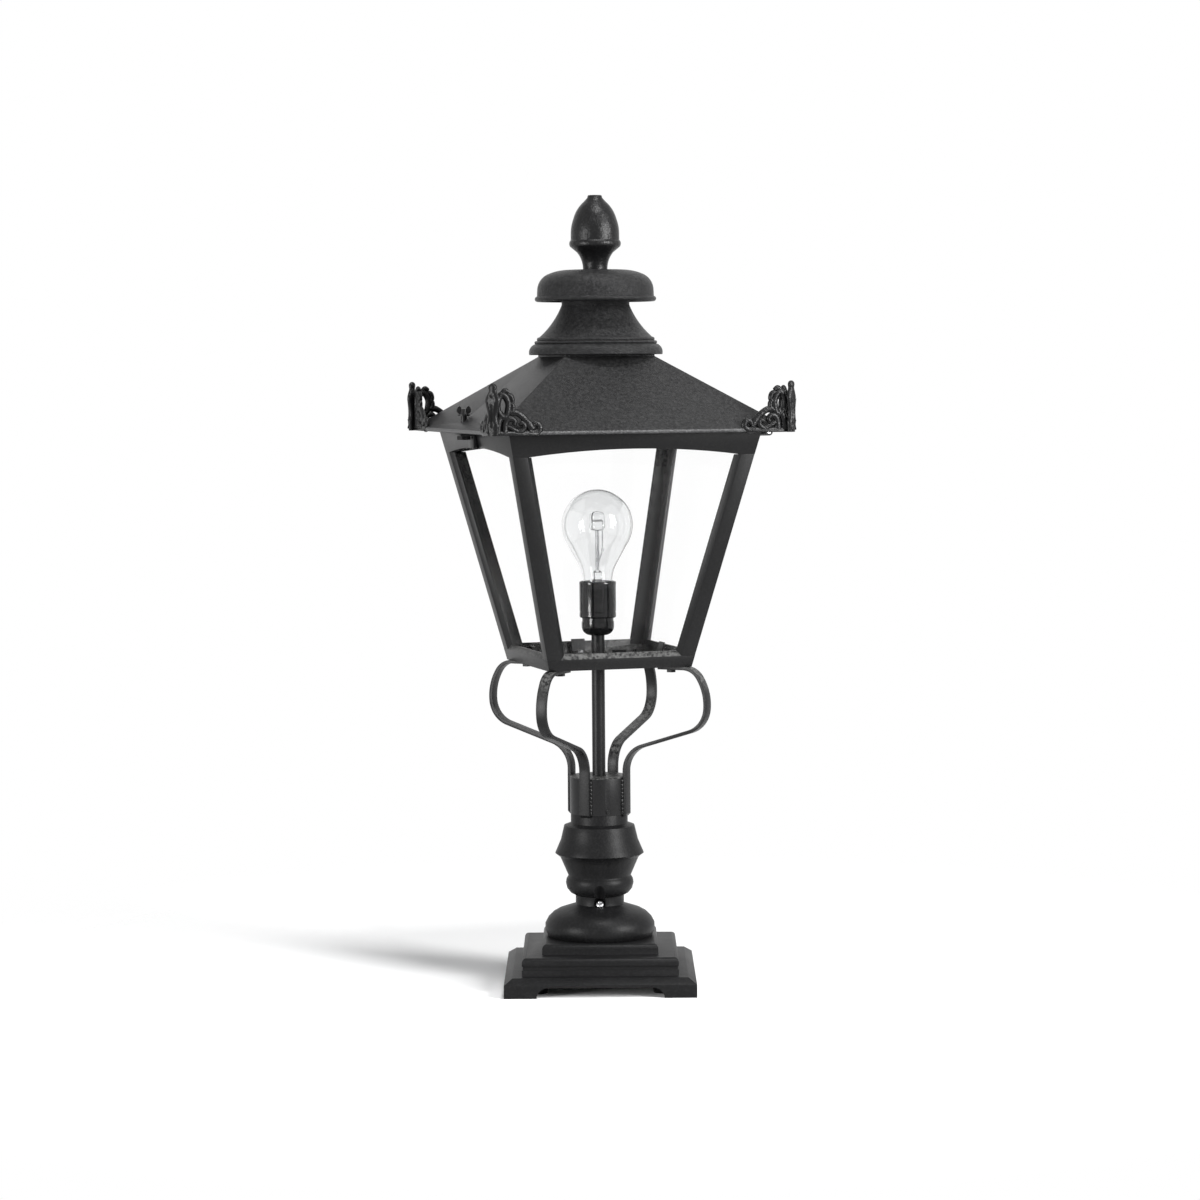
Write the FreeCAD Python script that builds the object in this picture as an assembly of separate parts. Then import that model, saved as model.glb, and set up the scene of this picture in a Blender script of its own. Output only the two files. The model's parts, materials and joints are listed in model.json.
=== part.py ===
import FreeCAD, Part
import math
import os

# Post top lantern on a stepped square pedestal, in millimetres.
# +Z is up and the origin is the centre of the footprint, at the level of the feet.
# The head's pieces are drawn square to the axes and then turned by HEAD_YAW about Z.

# ---- driving dimensions -----------------------------------------------------------

HEAD_YAW = 17.7            # the head is set turned on its spigot

# fits and clearances
RUN_CLEAR = 0.06           # radial clearance of a turning fit
SEAT_GAP = 0.1             # gap under a face that turns on another
SLIP = 0.2                 # clearance of a piece dropped into its place
LATCH_CLEAR = 0.9          # free space round the thumb screw in the latch tab

BAND_BOW = 0.5             # an arc stands at most this far outside the straight bands that make it

# stepped plinth
PLINTH_HALF = 80.0
PLINTH_TOP = 16.0
PLINTH_BEVEL_OUT = 7.0
PLINTH_BEVEL_DOWN = 5.0
SLAB_HALF = 65.3
SLAB_TOP = 31.0
BLOCK_HALF = 48.5
BLOCK_TOP = 39.7
STEP_ROUND = 4.0
GROOVE_DEPTH = 0.9
GROOVE_HEIGHT = 3.2
GROOVE_Z = 21.0
CAST_WALL = 6.0
WEB_THICK = 6.0
APRON_HALF_TOP = 43.0
APRON_HALF_FOOT = 53.0
APRON_HEIGHT = 8.8
BOSS_PITCH = 104.0
BOSS_R = 8.0
FIXING_HOLE_R = 4.1
FIXING_HOLE_DEPTH = 20.0
CABLE_WAY_R = 8.0
PLINTH_SPIGOT_R = 14.0
PLINTH_SPIGOT_TOP = 64.0

# baluster, radii and heights down its outline
TORUS_FOOT_R = 44.0
TORUS_R = 46.7
TORUS_WIDE_Z = 47.1
NECK_R = 20.5
NECK_FOOT_Z = 66.7
NECK_TOP_Z = 74.2
BEAD_R = 28.7
BEAD_WIDE_Z = 84.6
TAPER_FOOT_R = 26.4
TAPER_FOOT_Z = 90.9
TAPER_TOP_R = 33.4
TAPER_TOP_Z = 107.1
LIP_R = 37.5
LIP_Z = 110.2
DRUM_TOP_R = 29.8
DRUM_TOP_Z = 133.6
COLUMN_R = 24.1
COLUMN_FOOT_Z = 135.7
COLUMN_TOP_Z = 144.0
SPIGOT_R = 19.0
SPIGOT_TOP_Z = 170.5
BALUSTER_CHAMBER_R = 15.0
BALUSTER_CHAMBER_TOP = 126.0

# inclined screws at the neck
NECK_SCREWS = 3
RECESS_R = 4.9
RECESS_RUN = 40.0
NECK_SCREW_R = 2.0
NECK_SCREW_HEAD_R = 3.5
NECK_SCREW_HEAD = 2.6
NECK_SCREW_LENGTH = 10.0
NECK_SCREW_TILT = 45.0
NECK_SCREW_UP = 1.0

# wiring parts under the plinth's web
GROMMET_R = 5.0
GROMMET_FLANGE_R = 11.5
GROMMET_FLANGE = 2.5
GROMMET_SLEEVE = 8.0
BLOCK_X = -34.0
BLOCK_LONG = 30.0
BLOCK_DEEP = 16.0
BLOCK_TALL = 12.0
BLOCK_SCREW_R = 1.8
BLOCK_SCREW_PITCH = 12.0
BLOCK_TUNNEL_R = 2.0
BLOCK_TUNNEL_UP = 5.0

# mounting collar and arms
COLLAR_R = 24.6
COLLAR_TOP_Z = 175.9
SET_SCREW_R = 1.8
SET_SCREW_Z = 147.6
SET_SCREW_PROUD = 1.2
ARM_WIDTH = 9.0
ARM_THICK = 3.0
ARM_TAB = 23.5             # straight inner end under the frame, up to the first bend
ARM_SHOULDER_R = 16.0
ARM_SIDE_R = 42.0
ARM_RETURN_R = 22.0
ARM_BENDS = ((ARM_SHOULDER_R, 57.0), (ARM_SIDE_R, 38.5), (ARM_RETURN_R, 67.0))   # bulging outwards
ARM_RUN = 46.2             # straight run below the bulge
ARM_FOOT_BEND = 23.0
ARM_FOOT_Z = 142.5
ARM_END_BEVEL = 2.2
ARM_SCREW_R = 2.0
ARM_SCREW_FLATS = 7.0
ARM_SCREW_HEAD = 2.2

# glazed cage
CAGE_FOOT_Z = 271.3
CAGE_FOOT_HALF = 62.0
CAGE_TOP_Z = 466.9
CAGE_TOP_HALF = 107.6
BAR_FACE = 12.0            # flat face of a corner post
BAR_BEVEL = 4.5            # sloping glazing edge beside that face
BAR_BEVEL_DEPTH = 3.4
BAR_THICK = 5.0
FOOT_RAIL_FACE = 9.4
FRIEZE_END = 18.3          # depth of the frieze at the posts
FRIEZE_MID = 12.3          # depth of the frieze at mid span
FLANGE_THICK = 2.0
FLANGE_WIDTH = 17.0
TOP_FLANGE_WIDTH = 11.0
FLOOR_THICK = 2.0
VENT_R = 3.5
VENT_OUT = 30.0
PANE_THICK = 3.0
PANE_MARGIN = 3.0
PANE_TOP_Z = 462.0
CLIP_WIDTH = 12.0
CLIP_THICK = 1.2
CLIP_TAB = 13.0
CLIP_LAP = 12.0
HEAD_CLIP_TAB = 8.0
HEAD_CLIP_LAP = 6.0        # short, so that the clip stays hidden behind the frieze
CLIP_SCREW_R = 1.5
CLIP_SCREW_FLATS = 4.5
CLIP_HEAD = 1.6

# lampholder, tube and bulb
TUBE_R = 5.55
TUBE_WALL = 1.4
TUBE_FOOT_Z = 166.0
NUT_FLATS = 17.0
NUT_HEIGHT = 3.5
HOLDER_FOOT_Z = 295.1
HOLDER_DOME_Z = 301.9
HOLDER_CAP_R = 13.7
HOLDER_CAP_TOP_Z = 309.8
HOLDER_R = 15.4
HOLDER_MOUTH_OVER = 0.5    # the shell ends this far above the bulb's metal base
HOLDER_WALL = 1.4
INSERT_THICK = 3.8
CONTACT_RISE = 1.5         # from the insert up to the foot of the bulb
CONTACT_HALF = 2.5
CAP_THREAD_R = 13.05
THREAD_SHELL = 0.5
BULB_BASE_LENGTH = 23.5
BULB_BASE_WALL = 0.55
BULB_NECK_R = 12.4         # where the glass enters its metal base
BULB_R = 30.0
BULB_NECK_RUN = 48.2       # from the metal base up to the widest line
BULB_WAIST_R = 16.9
BULB_WAIST_SHARE = 0.346   # height of the waist as a share of that run
GLASS_WALL = 0.9
BULB_SHOULDER = -35.0      # angle below level at which the round part ends
CAPSULE_R = 6.6
CAPSULE_DROP = 4.8         # the capsule starts this far under the widest line
CAPSULE_LENGTH = 16.2
STEM_SUNK = 6.0
STEM_FLARE = 1.2
STEM_RISE = 10.0
WIRE_R = 0.45
LEAD_R = 1.6
SIDE_LEAD_OUT = 4.6
WELD_R = 1.3
STEM_R = 3.8

# roof, neck, cap and finial
EAVE_OVERHANG = 17.3       # the eave stands this far outside the cage
EAVE_Z = 467.0
EAVE_LIP = 3.5
ROOF_TOP_HALF = 38.9
ROOF_TOP_Z = 529.5
ROOF_SHEET = 1.8
SOFFIT_LAP = 11.6          # the soffit reaches this far in over the cage
NECK_SEAT_Z = 531.0
THROAT_R = 30.0
NECK_RING_R = 56.1
NECK_SHEET = 1.6
NECK_MOUTH_R = 28.4
FLARE_R = 47.4             # foot of the neck's flare
FLARE_UP = 14.7
NECK_MOUTH_Z = 578.0
CAP_RIM_Z = 575.4
CAP_BEAD_R = 50.9
CAP_WALL_R = 48.8
CAP_TOP_Z = 601.7
CAP_SHEET = 1.6
CAP_CROWN_R = 20.0
TIE_R = 3.0
TIE_UNDER_BRIDGE = 9.0
BRIDGE_Z = 562.0
BRIDGE_THICK = 3.0
BRIDGE_WIDTH = 14.0
TIE_NUT_FLATS = 10.0
TIE_NUT = 5.0
SPACER_R = 5.5
FINIAL_HEIGHT = 62.3
TIE_IN_FINIAL = 16.0
FINIAL_R = 21.65

# roof hinge and latch
HINGE_AXIS_DROP = 1.0      # the pin lies this far under the eave
KNUCKLE_R = 3.2
HINGE_PIN_R = 1.6
HINGE_LEAF = 1.6
HINGE_OFFSET = 58.0        # each hinge stands this far from mid side
KNUCKLE_LENGTH = 9.0
LEAF_RUN = 16.0            # length of the moving leaf's strap, measured level
LATCH_OUT = 7.9            # the thumb screw stands this far outside the cage
LATCH_DROP = 0.6           # gap between the eave and the latch tab
LATCH_NUT_FLATS = 10.0
LATCH_NUT = 3.0
WING_SPAN = 5.8
WING_HEIGHT = 7.0
WING_THICK = 2.0
WING_SHANK_R = 2.5
LATCH_TAB_WIDTH = 16.0
LATCH_TAB_THICK = 2.0

# corner ornaments
ORNAMENT_PLATE = 2.6
ORNAMENT_RIM = 0.8
ORNAMENT_HEIGHT = 42.4
ORNAMENT_PROUD = 0.6       # the wings stand this far outside the eave
LEAF_THICK = 3.6

# ---- values that follow -----------------------------------------------------------

CAGE_SLOPE = (CAGE_TOP_HALF - CAGE_FOOT_HALF) / (CAGE_TOP_Z - CAGE_FOOT_Z)
CAGE_FOOT_RAIL_Z = CAGE_FOOT_Z + FOOT_RAIL_FACE
FRIEZE_FOOT_Z = CAGE_TOP_Z - FRIEZE_END
FLOOR_Z = CAGE_FOOT_Z + FLANGE_THICK
FLOOR_TOP_Z = FLOOR_Z + FLOOR_THICK
PANE_FOOT_Z = FLOOR_TOP_Z
EAVE_HALF = CAGE_TOP_HALF + EAVE_OVERHANG
SOFFIT_HALF = CAGE_TOP_HALF - SOFFIT_LAP
LATCH_X = CAGE_TOP_HALF + LATCH_OUT
ROOF_SLOPE = (ROOF_TOP_Z - EAVE_Z - EAVE_LIP) / (EAVE_HALF - ROOF_TOP_HALF)
HINGE_X = EAVE_HALF + KNUCKLE_R
HINGE_Z = EAVE_Z - HINGE_AXIS_DROP
WEB_Z = SLAB_TOP - WEB_THICK
COLLAR_FOOT_Z = COLUMN_TOP_Z + SEAT_GAP
COLLAR_BORE_R = SPIGOT_R + RUN_CLEAR
COLLAR_ROOF_Z = SPIGOT_TOP_Z + SEAT_GAP
HOLDER_SEAT_Z = HOLDER_CAP_TOP_Z + HOLDER_WALL + INSERT_THICK
BULB_BASE_FOOT_Z = HOLDER_SEAT_Z + CONTACT_RISE
BULB_BASE_TOP_Z = BULB_BASE_FOOT_Z + BULB_BASE_LENGTH
HOLDER_MOUTH_Z = BULB_BASE_TOP_Z + HOLDER_MOUTH_OVER
BULB_WIDE_Z = BULB_BASE_TOP_Z + BULB_NECK_RUN
CAPSULE_FOOT_Z = BULB_WIDE_Z - CAPSULE_DROP
STEM_FOOT_Z = BULB_BASE_TOP_Z - STEM_SUNK
STEM_TOP_Z = BULB_BASE_TOP_Z + STEM_RISE
NECK_SEAT_R = NECK_R - 3.0
NECK_SEAT_SCREW_Z = NECK_FOOT_Z + NECK_SCREW_UP
FOOT_TAB_Z = FLOOR_TOP_Z
HEAD_TAB_Z = CAGE_TOP_Z - FLANGE_THICK - CLIP_THICK
FLARE_BEND = ((37.4, NECK_SEAT_Z + 25.5), (NECK_MOUTH_R, NECK_MOUTH_Z - 5.5))
FLARE_HOLLOW = ((35.8, NECK_SEAT_Z + 24.7), (NECK_MOUTH_R - NECK_SHEET, NECK_MOUTH_Z - 5.6))
TIE_FOOT_Z = BRIDGE_Z - TIE_UNDER_BRIDGE
FINIAL_TOP_Z = CAP_TOP_Z + FINIAL_HEIGHT
TIE_TOP_Z = CAP_TOP_Z + TIE_IN_FINIAL
SIDES = ("front", "right", "back", "left")
UP = FreeCAD.Vector(0, 0, 1)
ORIGIN = FreeCAD.Vector(0, 0, 0)


# ---- helpers ----------------------------------------------------------------------

def vec(x, y, z):
    return FreeCAD.Vector(x, y, z)


def box(x0, y0, z0, x1, y1, z1):
    return Part.makeBox(x1 - x0, y1 - y0, z1 - z0, vec(x0, y0, z0))


def square_block(half, z0, z1):
    return box(-half, -half, z0, half, half, z1)


def rod(radius, z0, z1, x=0.0, y=0.0):
    return Part.makeCylinder(radius, z1 - z0, vec(x, y, z0))


def ring(outer, inner, z0, z1, x=0.0, y=0.0):
    return rod(outer, z0, z1, x, y).cut(rod(inner, z0 - 1, z1 + 1, x, y))


def turn(shape, degrees):
    """A copy of the shape, turned about the vertical axis."""
    copy = shape.copy()
    copy.rotate(ORIGIN, UP, degrees)
    return copy


def move(shape, x=0.0, y=0.0, z=0.0):
    copy = shape.copy()
    copy.translate(vec(x, y, z))
    return copy


def outline(start, *steps):
    """A closed face in the XZ plane. A step is a point, or (middle, end) of an arc."""
    edges = []
    here = vec(start[0], 0, start[1])
    for step in steps + (start,):
        if isinstance(step[0], tuple):
            middle = vec(step[0][0], 0, step[0][1])
            end = vec(step[1][0], 0, step[1][1])
            edges.append(Part.Arc(here, middle, end).toShape())
        else:
            end = vec(step[0], 0, step[1])
            if (end - here).Length < 1e-6:
                continue
            edges.append(Part.makeLine(here, end))
        here = end
    return Part.Face(Part.Wire(edges))


def chords(start, steps):
    """The same outline with every arc taken as straight bands, off it by BAND_BOW at most."""
    points = []
    here = vec(start[0], 0, start[1])
    for step in steps:
        if isinstance(step[0], tuple):
            end = vec(step[1][0], 0, step[1][1])
            arc = Part.Arc(here, vec(step[0][0], 0, step[0][1]), end).toShape()
            band_run = 2 * math.sqrt(2 * BAND_BOW * arc.Curve.Radius)
            points += [(p.x, p.z) for p in arc.discretize(math.ceil(arc.Length / band_run) + 1)[1:]]
            here = end
        else:
            points.append(step)
            here = vec(step[0], 0, step[1])
    return points


def banded(start, *steps):
    """An outline's face, made of straight bands alone."""
    return outline(start, *chords(start, steps))


def spun(start, *steps):
    """A turned solid: the outline, as radius and height, revolved about the Z axis."""
    return banded(start, *steps).revolve(ORIGIN, UP, 360)


def plate(face, thick, y=0.0):
    """A face in the XZ plane made into a plate that runs from y towards +Y."""
    return move(face.extrude(vec(0, thick, 0)), y=y)


def hexagon(across_flats, z0, z1, x=0.0, y=0.0):
    corner = across_flats / math.sqrt(3)
    points = []
    for k in range(7):
        a = math.radians(60 * k)
        points.append(vec(x + corner * math.cos(a), y + corner * math.sin(a), z0))
    return Part.Face(Part.makePolygon(points)).extrude(vec(0, 0, z1 - z0))


def frustum(half0, z0, half1, z1):
    """A square block whose sides slope from half0 at z0 to half1 at z1."""
    block = Part.makeWedge(-half0, z0, -half0, -half1, -half1, half0, z1, half0, half1, half1)
    block.rotate(ORIGIN, vec(1, 0, 0), 90)
    return block


def cage_half(z):
    """Half width of the cage's outer faces at height z."""
    return CAGE_FOOT_HALF + CAGE_SLOPE * (z - CAGE_FOOT_Z)


def cage_block(inset, z0, z1):
    """The cage's tapered outer form, taken in by inset measured level."""
    return frustum(cage_half(z0) - inset, z0, cage_half(z1) - inset, z1)


def roof_z(half):
    """Height of the roof's outer face at a distance from the axis."""
    return EAVE_Z + EAVE_LIP + ROOF_SLOPE * (EAVE_HALF - half)


def head_piece(shape):
    return turn(shape, HEAD_YAW)


def joined(shapes):
    """One solid from pieces that share faces or overlap."""
    result = shapes[0]
    for shape in shapes[1:]:
        result = result.fuse(shape)
    return result.removeSplitter()


def group(shapes):
    return Part.makeCompound(shapes)


# ---- pedestal ---------------------------------------------------------------------

def plinth_profile_block():
    """The three square steps, each with its own rounded or bevelled top edge."""
    plinth = square_block(PLINTH_HALF, 0, PLINTH_TOP - PLINTH_BEVEL_DOWN)
    bevel = frustum(PLINTH_HALF, PLINTH_TOP - PLINTH_BEVEL_DOWN,
                    PLINTH_HALF - PLINTH_BEVEL_OUT, PLINTH_TOP)
    slab = square_block(SLAB_HALF, PLINTH_TOP, SLAB_TOP)
    slab = rounded_top(slab, SLAB_TOP)
    groove = square_block(SLAB_HALF + 1, GROOVE_Z, GROOVE_Z + GROOVE_HEIGHT)
    groove = groove.cut(square_block(SLAB_HALF - GROOVE_DEPTH, GROOVE_Z - 1,
                                     GROOVE_Z + GROOVE_HEIGHT + 1))
    block = rounded_top(square_block(BLOCK_HALF, SLAB_TOP, BLOCK_TOP), BLOCK_TOP)
    return joined([plinth, bevel, slab.cut(groove), block])


def rounded_top(block, z):
    edges = [e for e in block.Edges if abs(e.BoundBox.ZMin - z) < 1e-6]
    return block.makeFillet(STEP_ROUND, edges)


def apron_arch():
    """The low arch under one side, with quarter-round shoulders."""
    rise = APRON_HEIGHT
    run = APRON_HALF_FOOT - APRON_HALF_TOP
    bow = 0.29
    left = ((-APRON_HALF_FOOT + run * bow, rise * (1 - bow)), (-APRON_HALF_TOP, rise))
    right = ((APRON_HALF_FOOT - run * bow, rise * (1 - bow)), (APRON_HALF_FOOT, 0.0))
    face = outline((-APRON_HALF_FOOT, -1.0), (-APRON_HALF_FOOT, 0.0), left,
                   (APRON_HALF_TOP, rise), right, (APRON_HALF_FOOT, -1.0))
    return plate(face, PLINTH_HALF, -PLINTH_HALF - 1)


def plinth_base():
    body = plinth_profile_block()
    body = body.cut(square_block(PLINTH_HALF - CAST_WALL, -1, PLINTH_TOP - CAST_WALL))
    body = body.cut(square_block(SLAB_HALF - CAST_WALL, -1, WEB_Z))
    for k in range(4):
        body = body.cut(turn(apron_arch(), 90 * k))
    half = BOSS_PITCH / 2
    bosses = [rod(BOSS_R, 0, WEB_Z, sx * half, sy * half) for sx in (-1, 1) for sy in (-1, 1)]
    spigot = rod(PLINTH_SPIGOT_R, BLOCK_TOP - 1, PLINTH_SPIGOT_TOP)
    body = joined([body, spigot] + bosses)
    for sx in (-1, 1):
        for sy in (-1, 1):
            body = body.cut(rod(FIXING_HOLE_R, -1, FIXING_HOLE_DEPTH, sx * half, sy * half))
    body = body.cut(rod(CABLE_WAY_R, 0, PLINTH_SPIGOT_TOP + 1))
    for hole in neck_screw_tools(NECK_SCREW_R, NECK_SCREW_LENGTH, 0):
        body = body.cut(hole)
    return body


def baluster():
    body = spun(
        (0, BLOCK_TOP), (TORUS_FOOT_R, BLOCK_TOP),
        ((TORUS_R, TORUS_WIDE_Z), (TORUS_R - 3.0, TORUS_WIDE_Z + 8.2)),
        ((TORUS_R - 6.8, TORUS_WIDE_Z + 12.0), (TORUS_R - 11.5, TORUS_WIDE_Z + 14.7)),
        ((NECK_R + 7.0, NECK_FOOT_Z - 2.3), (NECK_R, NECK_FOOT_Z)),
        (NECK_R, NECK_TOP_Z),
        ((BEAD_R - 2.0, BEAD_WIDE_Z - 6.0), (BEAD_R, BEAD_WIDE_Z)),
        ((BEAD_R - 0.6, BEAD_WIDE_Z + 3.6), (TAPER_FOOT_R, TAPER_FOOT_Z)),
        (TAPER_TOP_R, TAPER_TOP_Z), (LIP_R, LIP_Z),
        (((LIP_R + DRUM_TOP_R) / 2 - 0.9, (LIP_Z + DRUM_TOP_Z) / 2 - 0.6), (DRUM_TOP_R, DRUM_TOP_Z)),
        (COLUMN_R, COLUMN_FOOT_Z), (COLUMN_R, COLUMN_TOP_Z), (SPIGOT_R, COLUMN_TOP_Z),
        (SPIGOT_R, SPIGOT_TOP_Z - 1), (SPIGOT_R - 1, SPIGOT_TOP_Z), (0, SPIGOT_TOP_Z))
    body = body.cut(rod(PLINTH_SPIGOT_R + SLIP / 2, BLOCK_TOP - 1, PLINTH_SPIGOT_TOP + SLIP))
    chamber_foot = PLINTH_SPIGOT_TOP + SLIP - 0.5
    body = body.cut(rod(BALUSTER_CHAMBER_R, NECK_TOP_Z + 2, BALUSTER_CHAMBER_TOP))
    body = body.cut(rod(CABLE_WAY_R, chamber_foot, SPIGOT_TOP_Z + 1))
    recesses = neck_screw_tools(RECESS_R, 0, RECESS_RUN)
    for tool in recesses + neck_screw_tools(NECK_SCREW_R, NECK_SCREW_LENGTH, 0):
        body = body.cut(tool)
    return body


def neck_screw_axes():
    """Seat point and outward direction of each inclined screw; one faces the front."""
    tilt = math.radians(NECK_SCREW_TILT)
    for k in range(NECK_SCREWS):
        a = math.radians(-90 + 360 * k / NECK_SCREWS)
        out = vec(math.cos(a), math.sin(a), 0)
        seat = out * NECK_SEAT_R + vec(0, 0, NECK_SEAT_SCREW_Z)
        yield seat, out * math.cos(tilt) + vec(0, 0, math.sin(tilt))


def neck_screw_tools(radius, inwards, outwards):
    """Cylinders on the screw axes, from inwards below the seat to outwards above it."""
    return [Part.makeCylinder(radius, inwards + outwards, seat - way * inwards, way)
            for seat, way in neck_screw_axes()]


def neck_screws():
    screws = []
    for seat, way in neck_screw_axes():
        shank = Part.makeCylinder(NECK_SCREW_R, NECK_SCREW_LENGTH, seat, way * -1)
        head = Part.makeCylinder(NECK_SCREW_HEAD_R, NECK_SCREW_HEAD, seat, way)
        head = head.makeChamfer(0.9, [e for e in head.Edges
                                      if (e.CenterOfMass - seat).Length > NECK_SCREW_HEAD - 0.1
                                      and e.Curve.TypeId == "Part::GeomCircle"])
        screws.append(joined([shank, head]))
    return group(screws)


def wire_grommet():
    flange = rod(GROMMET_FLANGE_R, WEB_Z - GROMMET_FLANGE, WEB_Z)
    sleeve = rod(CABLE_WAY_R, WEB_Z, WEB_Z + GROMMET_SLEEVE)
    return joined([flange, sleeve]).cut(rod(GROMMET_R, 0, WEB_Z + GROMMET_SLEEVE + 1))


def terminal_block():
    """Two-pole connector under the web, with a wire tunnel and a screw well per pole."""
    z0 = WEB_Z - BLOCK_TALL
    body = box(BLOCK_X - BLOCK_DEEP / 2, -BLOCK_LONG / 2, z0, BLOCK_X + BLOCK_DEEP / 2, BLOCK_LONG / 2, WEB_Z)
    notch = box(BLOCK_X - BLOCK_DEEP, -1.2, z0 - 1, BLOCK_X + BLOCK_DEEP, 1.2, z0 + BLOCK_TALL * 0.45)
    body = body.cut(notch)
    for side in (-1, 1):
        y = side * BLOCK_SCREW_PITCH / 2
        start = vec(BLOCK_X - BLOCK_DEEP, y, z0 + BLOCK_TUNNEL_UP)
        tunnel = Part.makeCylinder(BLOCK_TUNNEL_R, 2 * BLOCK_DEEP, start, vec(1, 0, 0))
        body = body.cut(tunnel).cut(rod(BLOCK_SCREW_R, z0 - 1, z0 + BLOCK_TUNNEL_UP, BLOCK_X, y))
    return body


def terminal_screws():
    z0 = WEB_Z - BLOCK_TALL
    screws = []
    for side in (-1, 1):
        y = side * BLOCK_SCREW_PITCH / 2
        screws.append(rod(BLOCK_SCREW_R, z0 + 0.8, z0 + BLOCK_TUNNEL_UP - BLOCK_TUNNEL_R, BLOCK_X, y))
    return group(screws)


# ---- collar and arms --------------------------------------------------------------

def mounting_collar():
    body = rod(COLLAR_R, COLLAR_FOOT_Z, COLLAR_TOP_Z)
    body = body.makeChamfer(0.8, [e for e in body.Edges if abs(e.BoundBox.ZMin - COLLAR_TOP_Z) < 1e-6])
    body = body.cut(rod(COLLAR_BORE_R, COLLAR_FOOT_Z - 1, COLLAR_ROOF_Z))
    body = body.cut(rod(TUBE_R, COLLAR_FOOT_Z, COLLAR_TOP_Z + 1))
    for side in (-1, 1):
        body = body.cut(set_screw(side, COLLAR_R + 1))
    return body


def set_screw(side, tip_out):
    start = vec(0, side * COLLAR_BORE_R, SET_SCREW_Z)
    return Part.makeCylinder(SET_SCREW_R, tip_out - COLLAR_BORE_R, start, vec(0, side, 0))


def collar_set_screws():
    screws = []
    for side in (-1, 1):
        screw = set_screw(side, COLLAR_R + SET_SCREW_PROUD)
        slot = box(-SET_SCREW_R - 1, -0.4, -0.4, SET_SCREW_R + 1, 0.8, 0.4)
        slot = move(slot, y=side * (COLLAR_R + SET_SCREW_PROUD), z=SET_SCREW_Z)
        screws.append(screw.cut(slot))
    return group(screws)


class BendLine:
    """Both edges of a flat bar, drawn in the XZ plane as straights and true bends."""

    def __init__(self, x, z, heading, thick):
        self.x, self.z, self.heading, self.half = x, z, heading, thick / 2
        self.left = []
        self.right = []

    def edge_point(self, side):
        a = math.radians(self.heading)
        return vec(self.x - side * self.half * math.sin(a), 0, self.z + side * self.half * math.cos(a))

    def straight(self, length):
        starts = self.edge_point(1), self.edge_point(-1)
        a = math.radians(self.heading)
        self.x += length * math.cos(a)
        self.z += length * math.sin(a)
        self.left.append(Part.makeLine(starts[0], self.edge_point(1)))
        self.right.append(Part.makeLine(starts[1], self.edge_point(-1)))

    def bend(self, radius, angle):
        """A bend of the centre line; a positive angle turns clockwise."""
        side = -1 if angle > 0 else 1
        a = math.radians(self.heading)
        cx = self.x - side * radius * math.sin(a)
        cz = self.z + side * radius * math.cos(a)
        points = []
        for share in (0.0, 0.5, 1.0):
            h = math.radians(self.heading - angle * share)
            edge_x = cx + side * radius * math.sin(h)
            edge_z = cz - side * radius * math.cos(h)
            points.append((edge_x, edge_z, h))
        for edge, sign in ((self.left, 1), (self.right, -1)):
            p = [vec(x - sign * self.half * math.sin(h), 0, z + sign * self.half * math.cos(h))
                 for x, z, h in points]
            edge.append(Part.Arc(p[0], p[1], p[2]).toShape())
        self.x, self.z = points[2][0], points[2][1]
        self.heading -= angle

    def face(self):
        start = Part.makeLine(self.right[0].Vertexes[0].Point, self.left[0].Vertexes[0].Point)
        end = Part.makeLine(self.left[-1].Vertexes[-1].Point, self.right[-1].Vertexes[-1].Point)
        return Part.Face(Part.Wire([start] + self.left + [end] + self.right[::-1]))


def arm_path():
    """Bend line of one arm, from its inner tab under the frame to its foot on the collar."""
    top = CAGE_FOOT_Z - ARM_THICK / 2
    line = BendLine(0.0, top, 0.0, ARM_THICK)
    line.straight(ARM_TAB)
    for radius, angle in ARM_BENDS:
        line.bend(radius, angle)
    line.straight(ARM_RUN)
    line.bend(ARM_FOOT_BEND, -(sum(angle for radius, angle in ARM_BENDS) - 90))
    return line


def arm_tab_start():
    """Radius of the tab's inner end, set so that the foot lies flat on the collar."""
    return COLLAR_R + ARM_THICK / 2 - arm_path().x


def scroll_arm():
    """One arm in the XZ plane, seen square on; its width lies across that plane."""
    line = arm_path()
    line.straight(line.z - ARM_FOOT_Z)
    body = move(line.face().extrude(vec(0, ARM_WIDTH, 0)), x=arm_tab_start(), y=-ARM_WIDTH / 2)
    bevel = outline((COLLAR_R + ARM_THICK - ARM_END_BEVEL, ARM_FOOT_Z),
                    (COLLAR_R + ARM_THICK + 1, ARM_FOOT_Z + ARM_END_BEVEL + 1),
                    (COLLAR_R + ARM_THICK + 1, ARM_FOOT_Z - 1),
                    (COLLAR_R + ARM_THICK - ARM_END_BEVEL, ARM_FOOT_Z - 1))
    body = body.cut(plate(bevel, 2 * ARM_WIDTH, -ARM_WIDTH))
    body = body.cut(rod(COLLAR_R, ARM_FOOT_Z - 1, COLLAR_TOP_Z + 1))
    return body.cut(arm_screw_hole())


def arm_screw_x():
    return arm_tab_start() + ARM_TAB * 0.45


def arm_screw_hole():
    return rod(ARM_SCREW_R, CAGE_FOOT_Z - ARM_THICK - 1, FLOOR_TOP_Z + 3, arm_screw_x())


def arm_screws():
    screws = []
    head_top = CAGE_FOOT_Z - ARM_THICK
    for k in range(4):
        shank = rod(ARM_SCREW_R, head_top, FLOOR_TOP_Z + 2.4, arm_screw_x())
        head = hexagon(ARM_SCREW_FLATS, head_top - ARM_SCREW_HEAD, head_top, arm_screw_x())
        screws.append(turn(joined([shank, head]), 45 + 90 * k))
    return group(screws)


# ---- glazed cage ------------------------------------------------------------------

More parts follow.
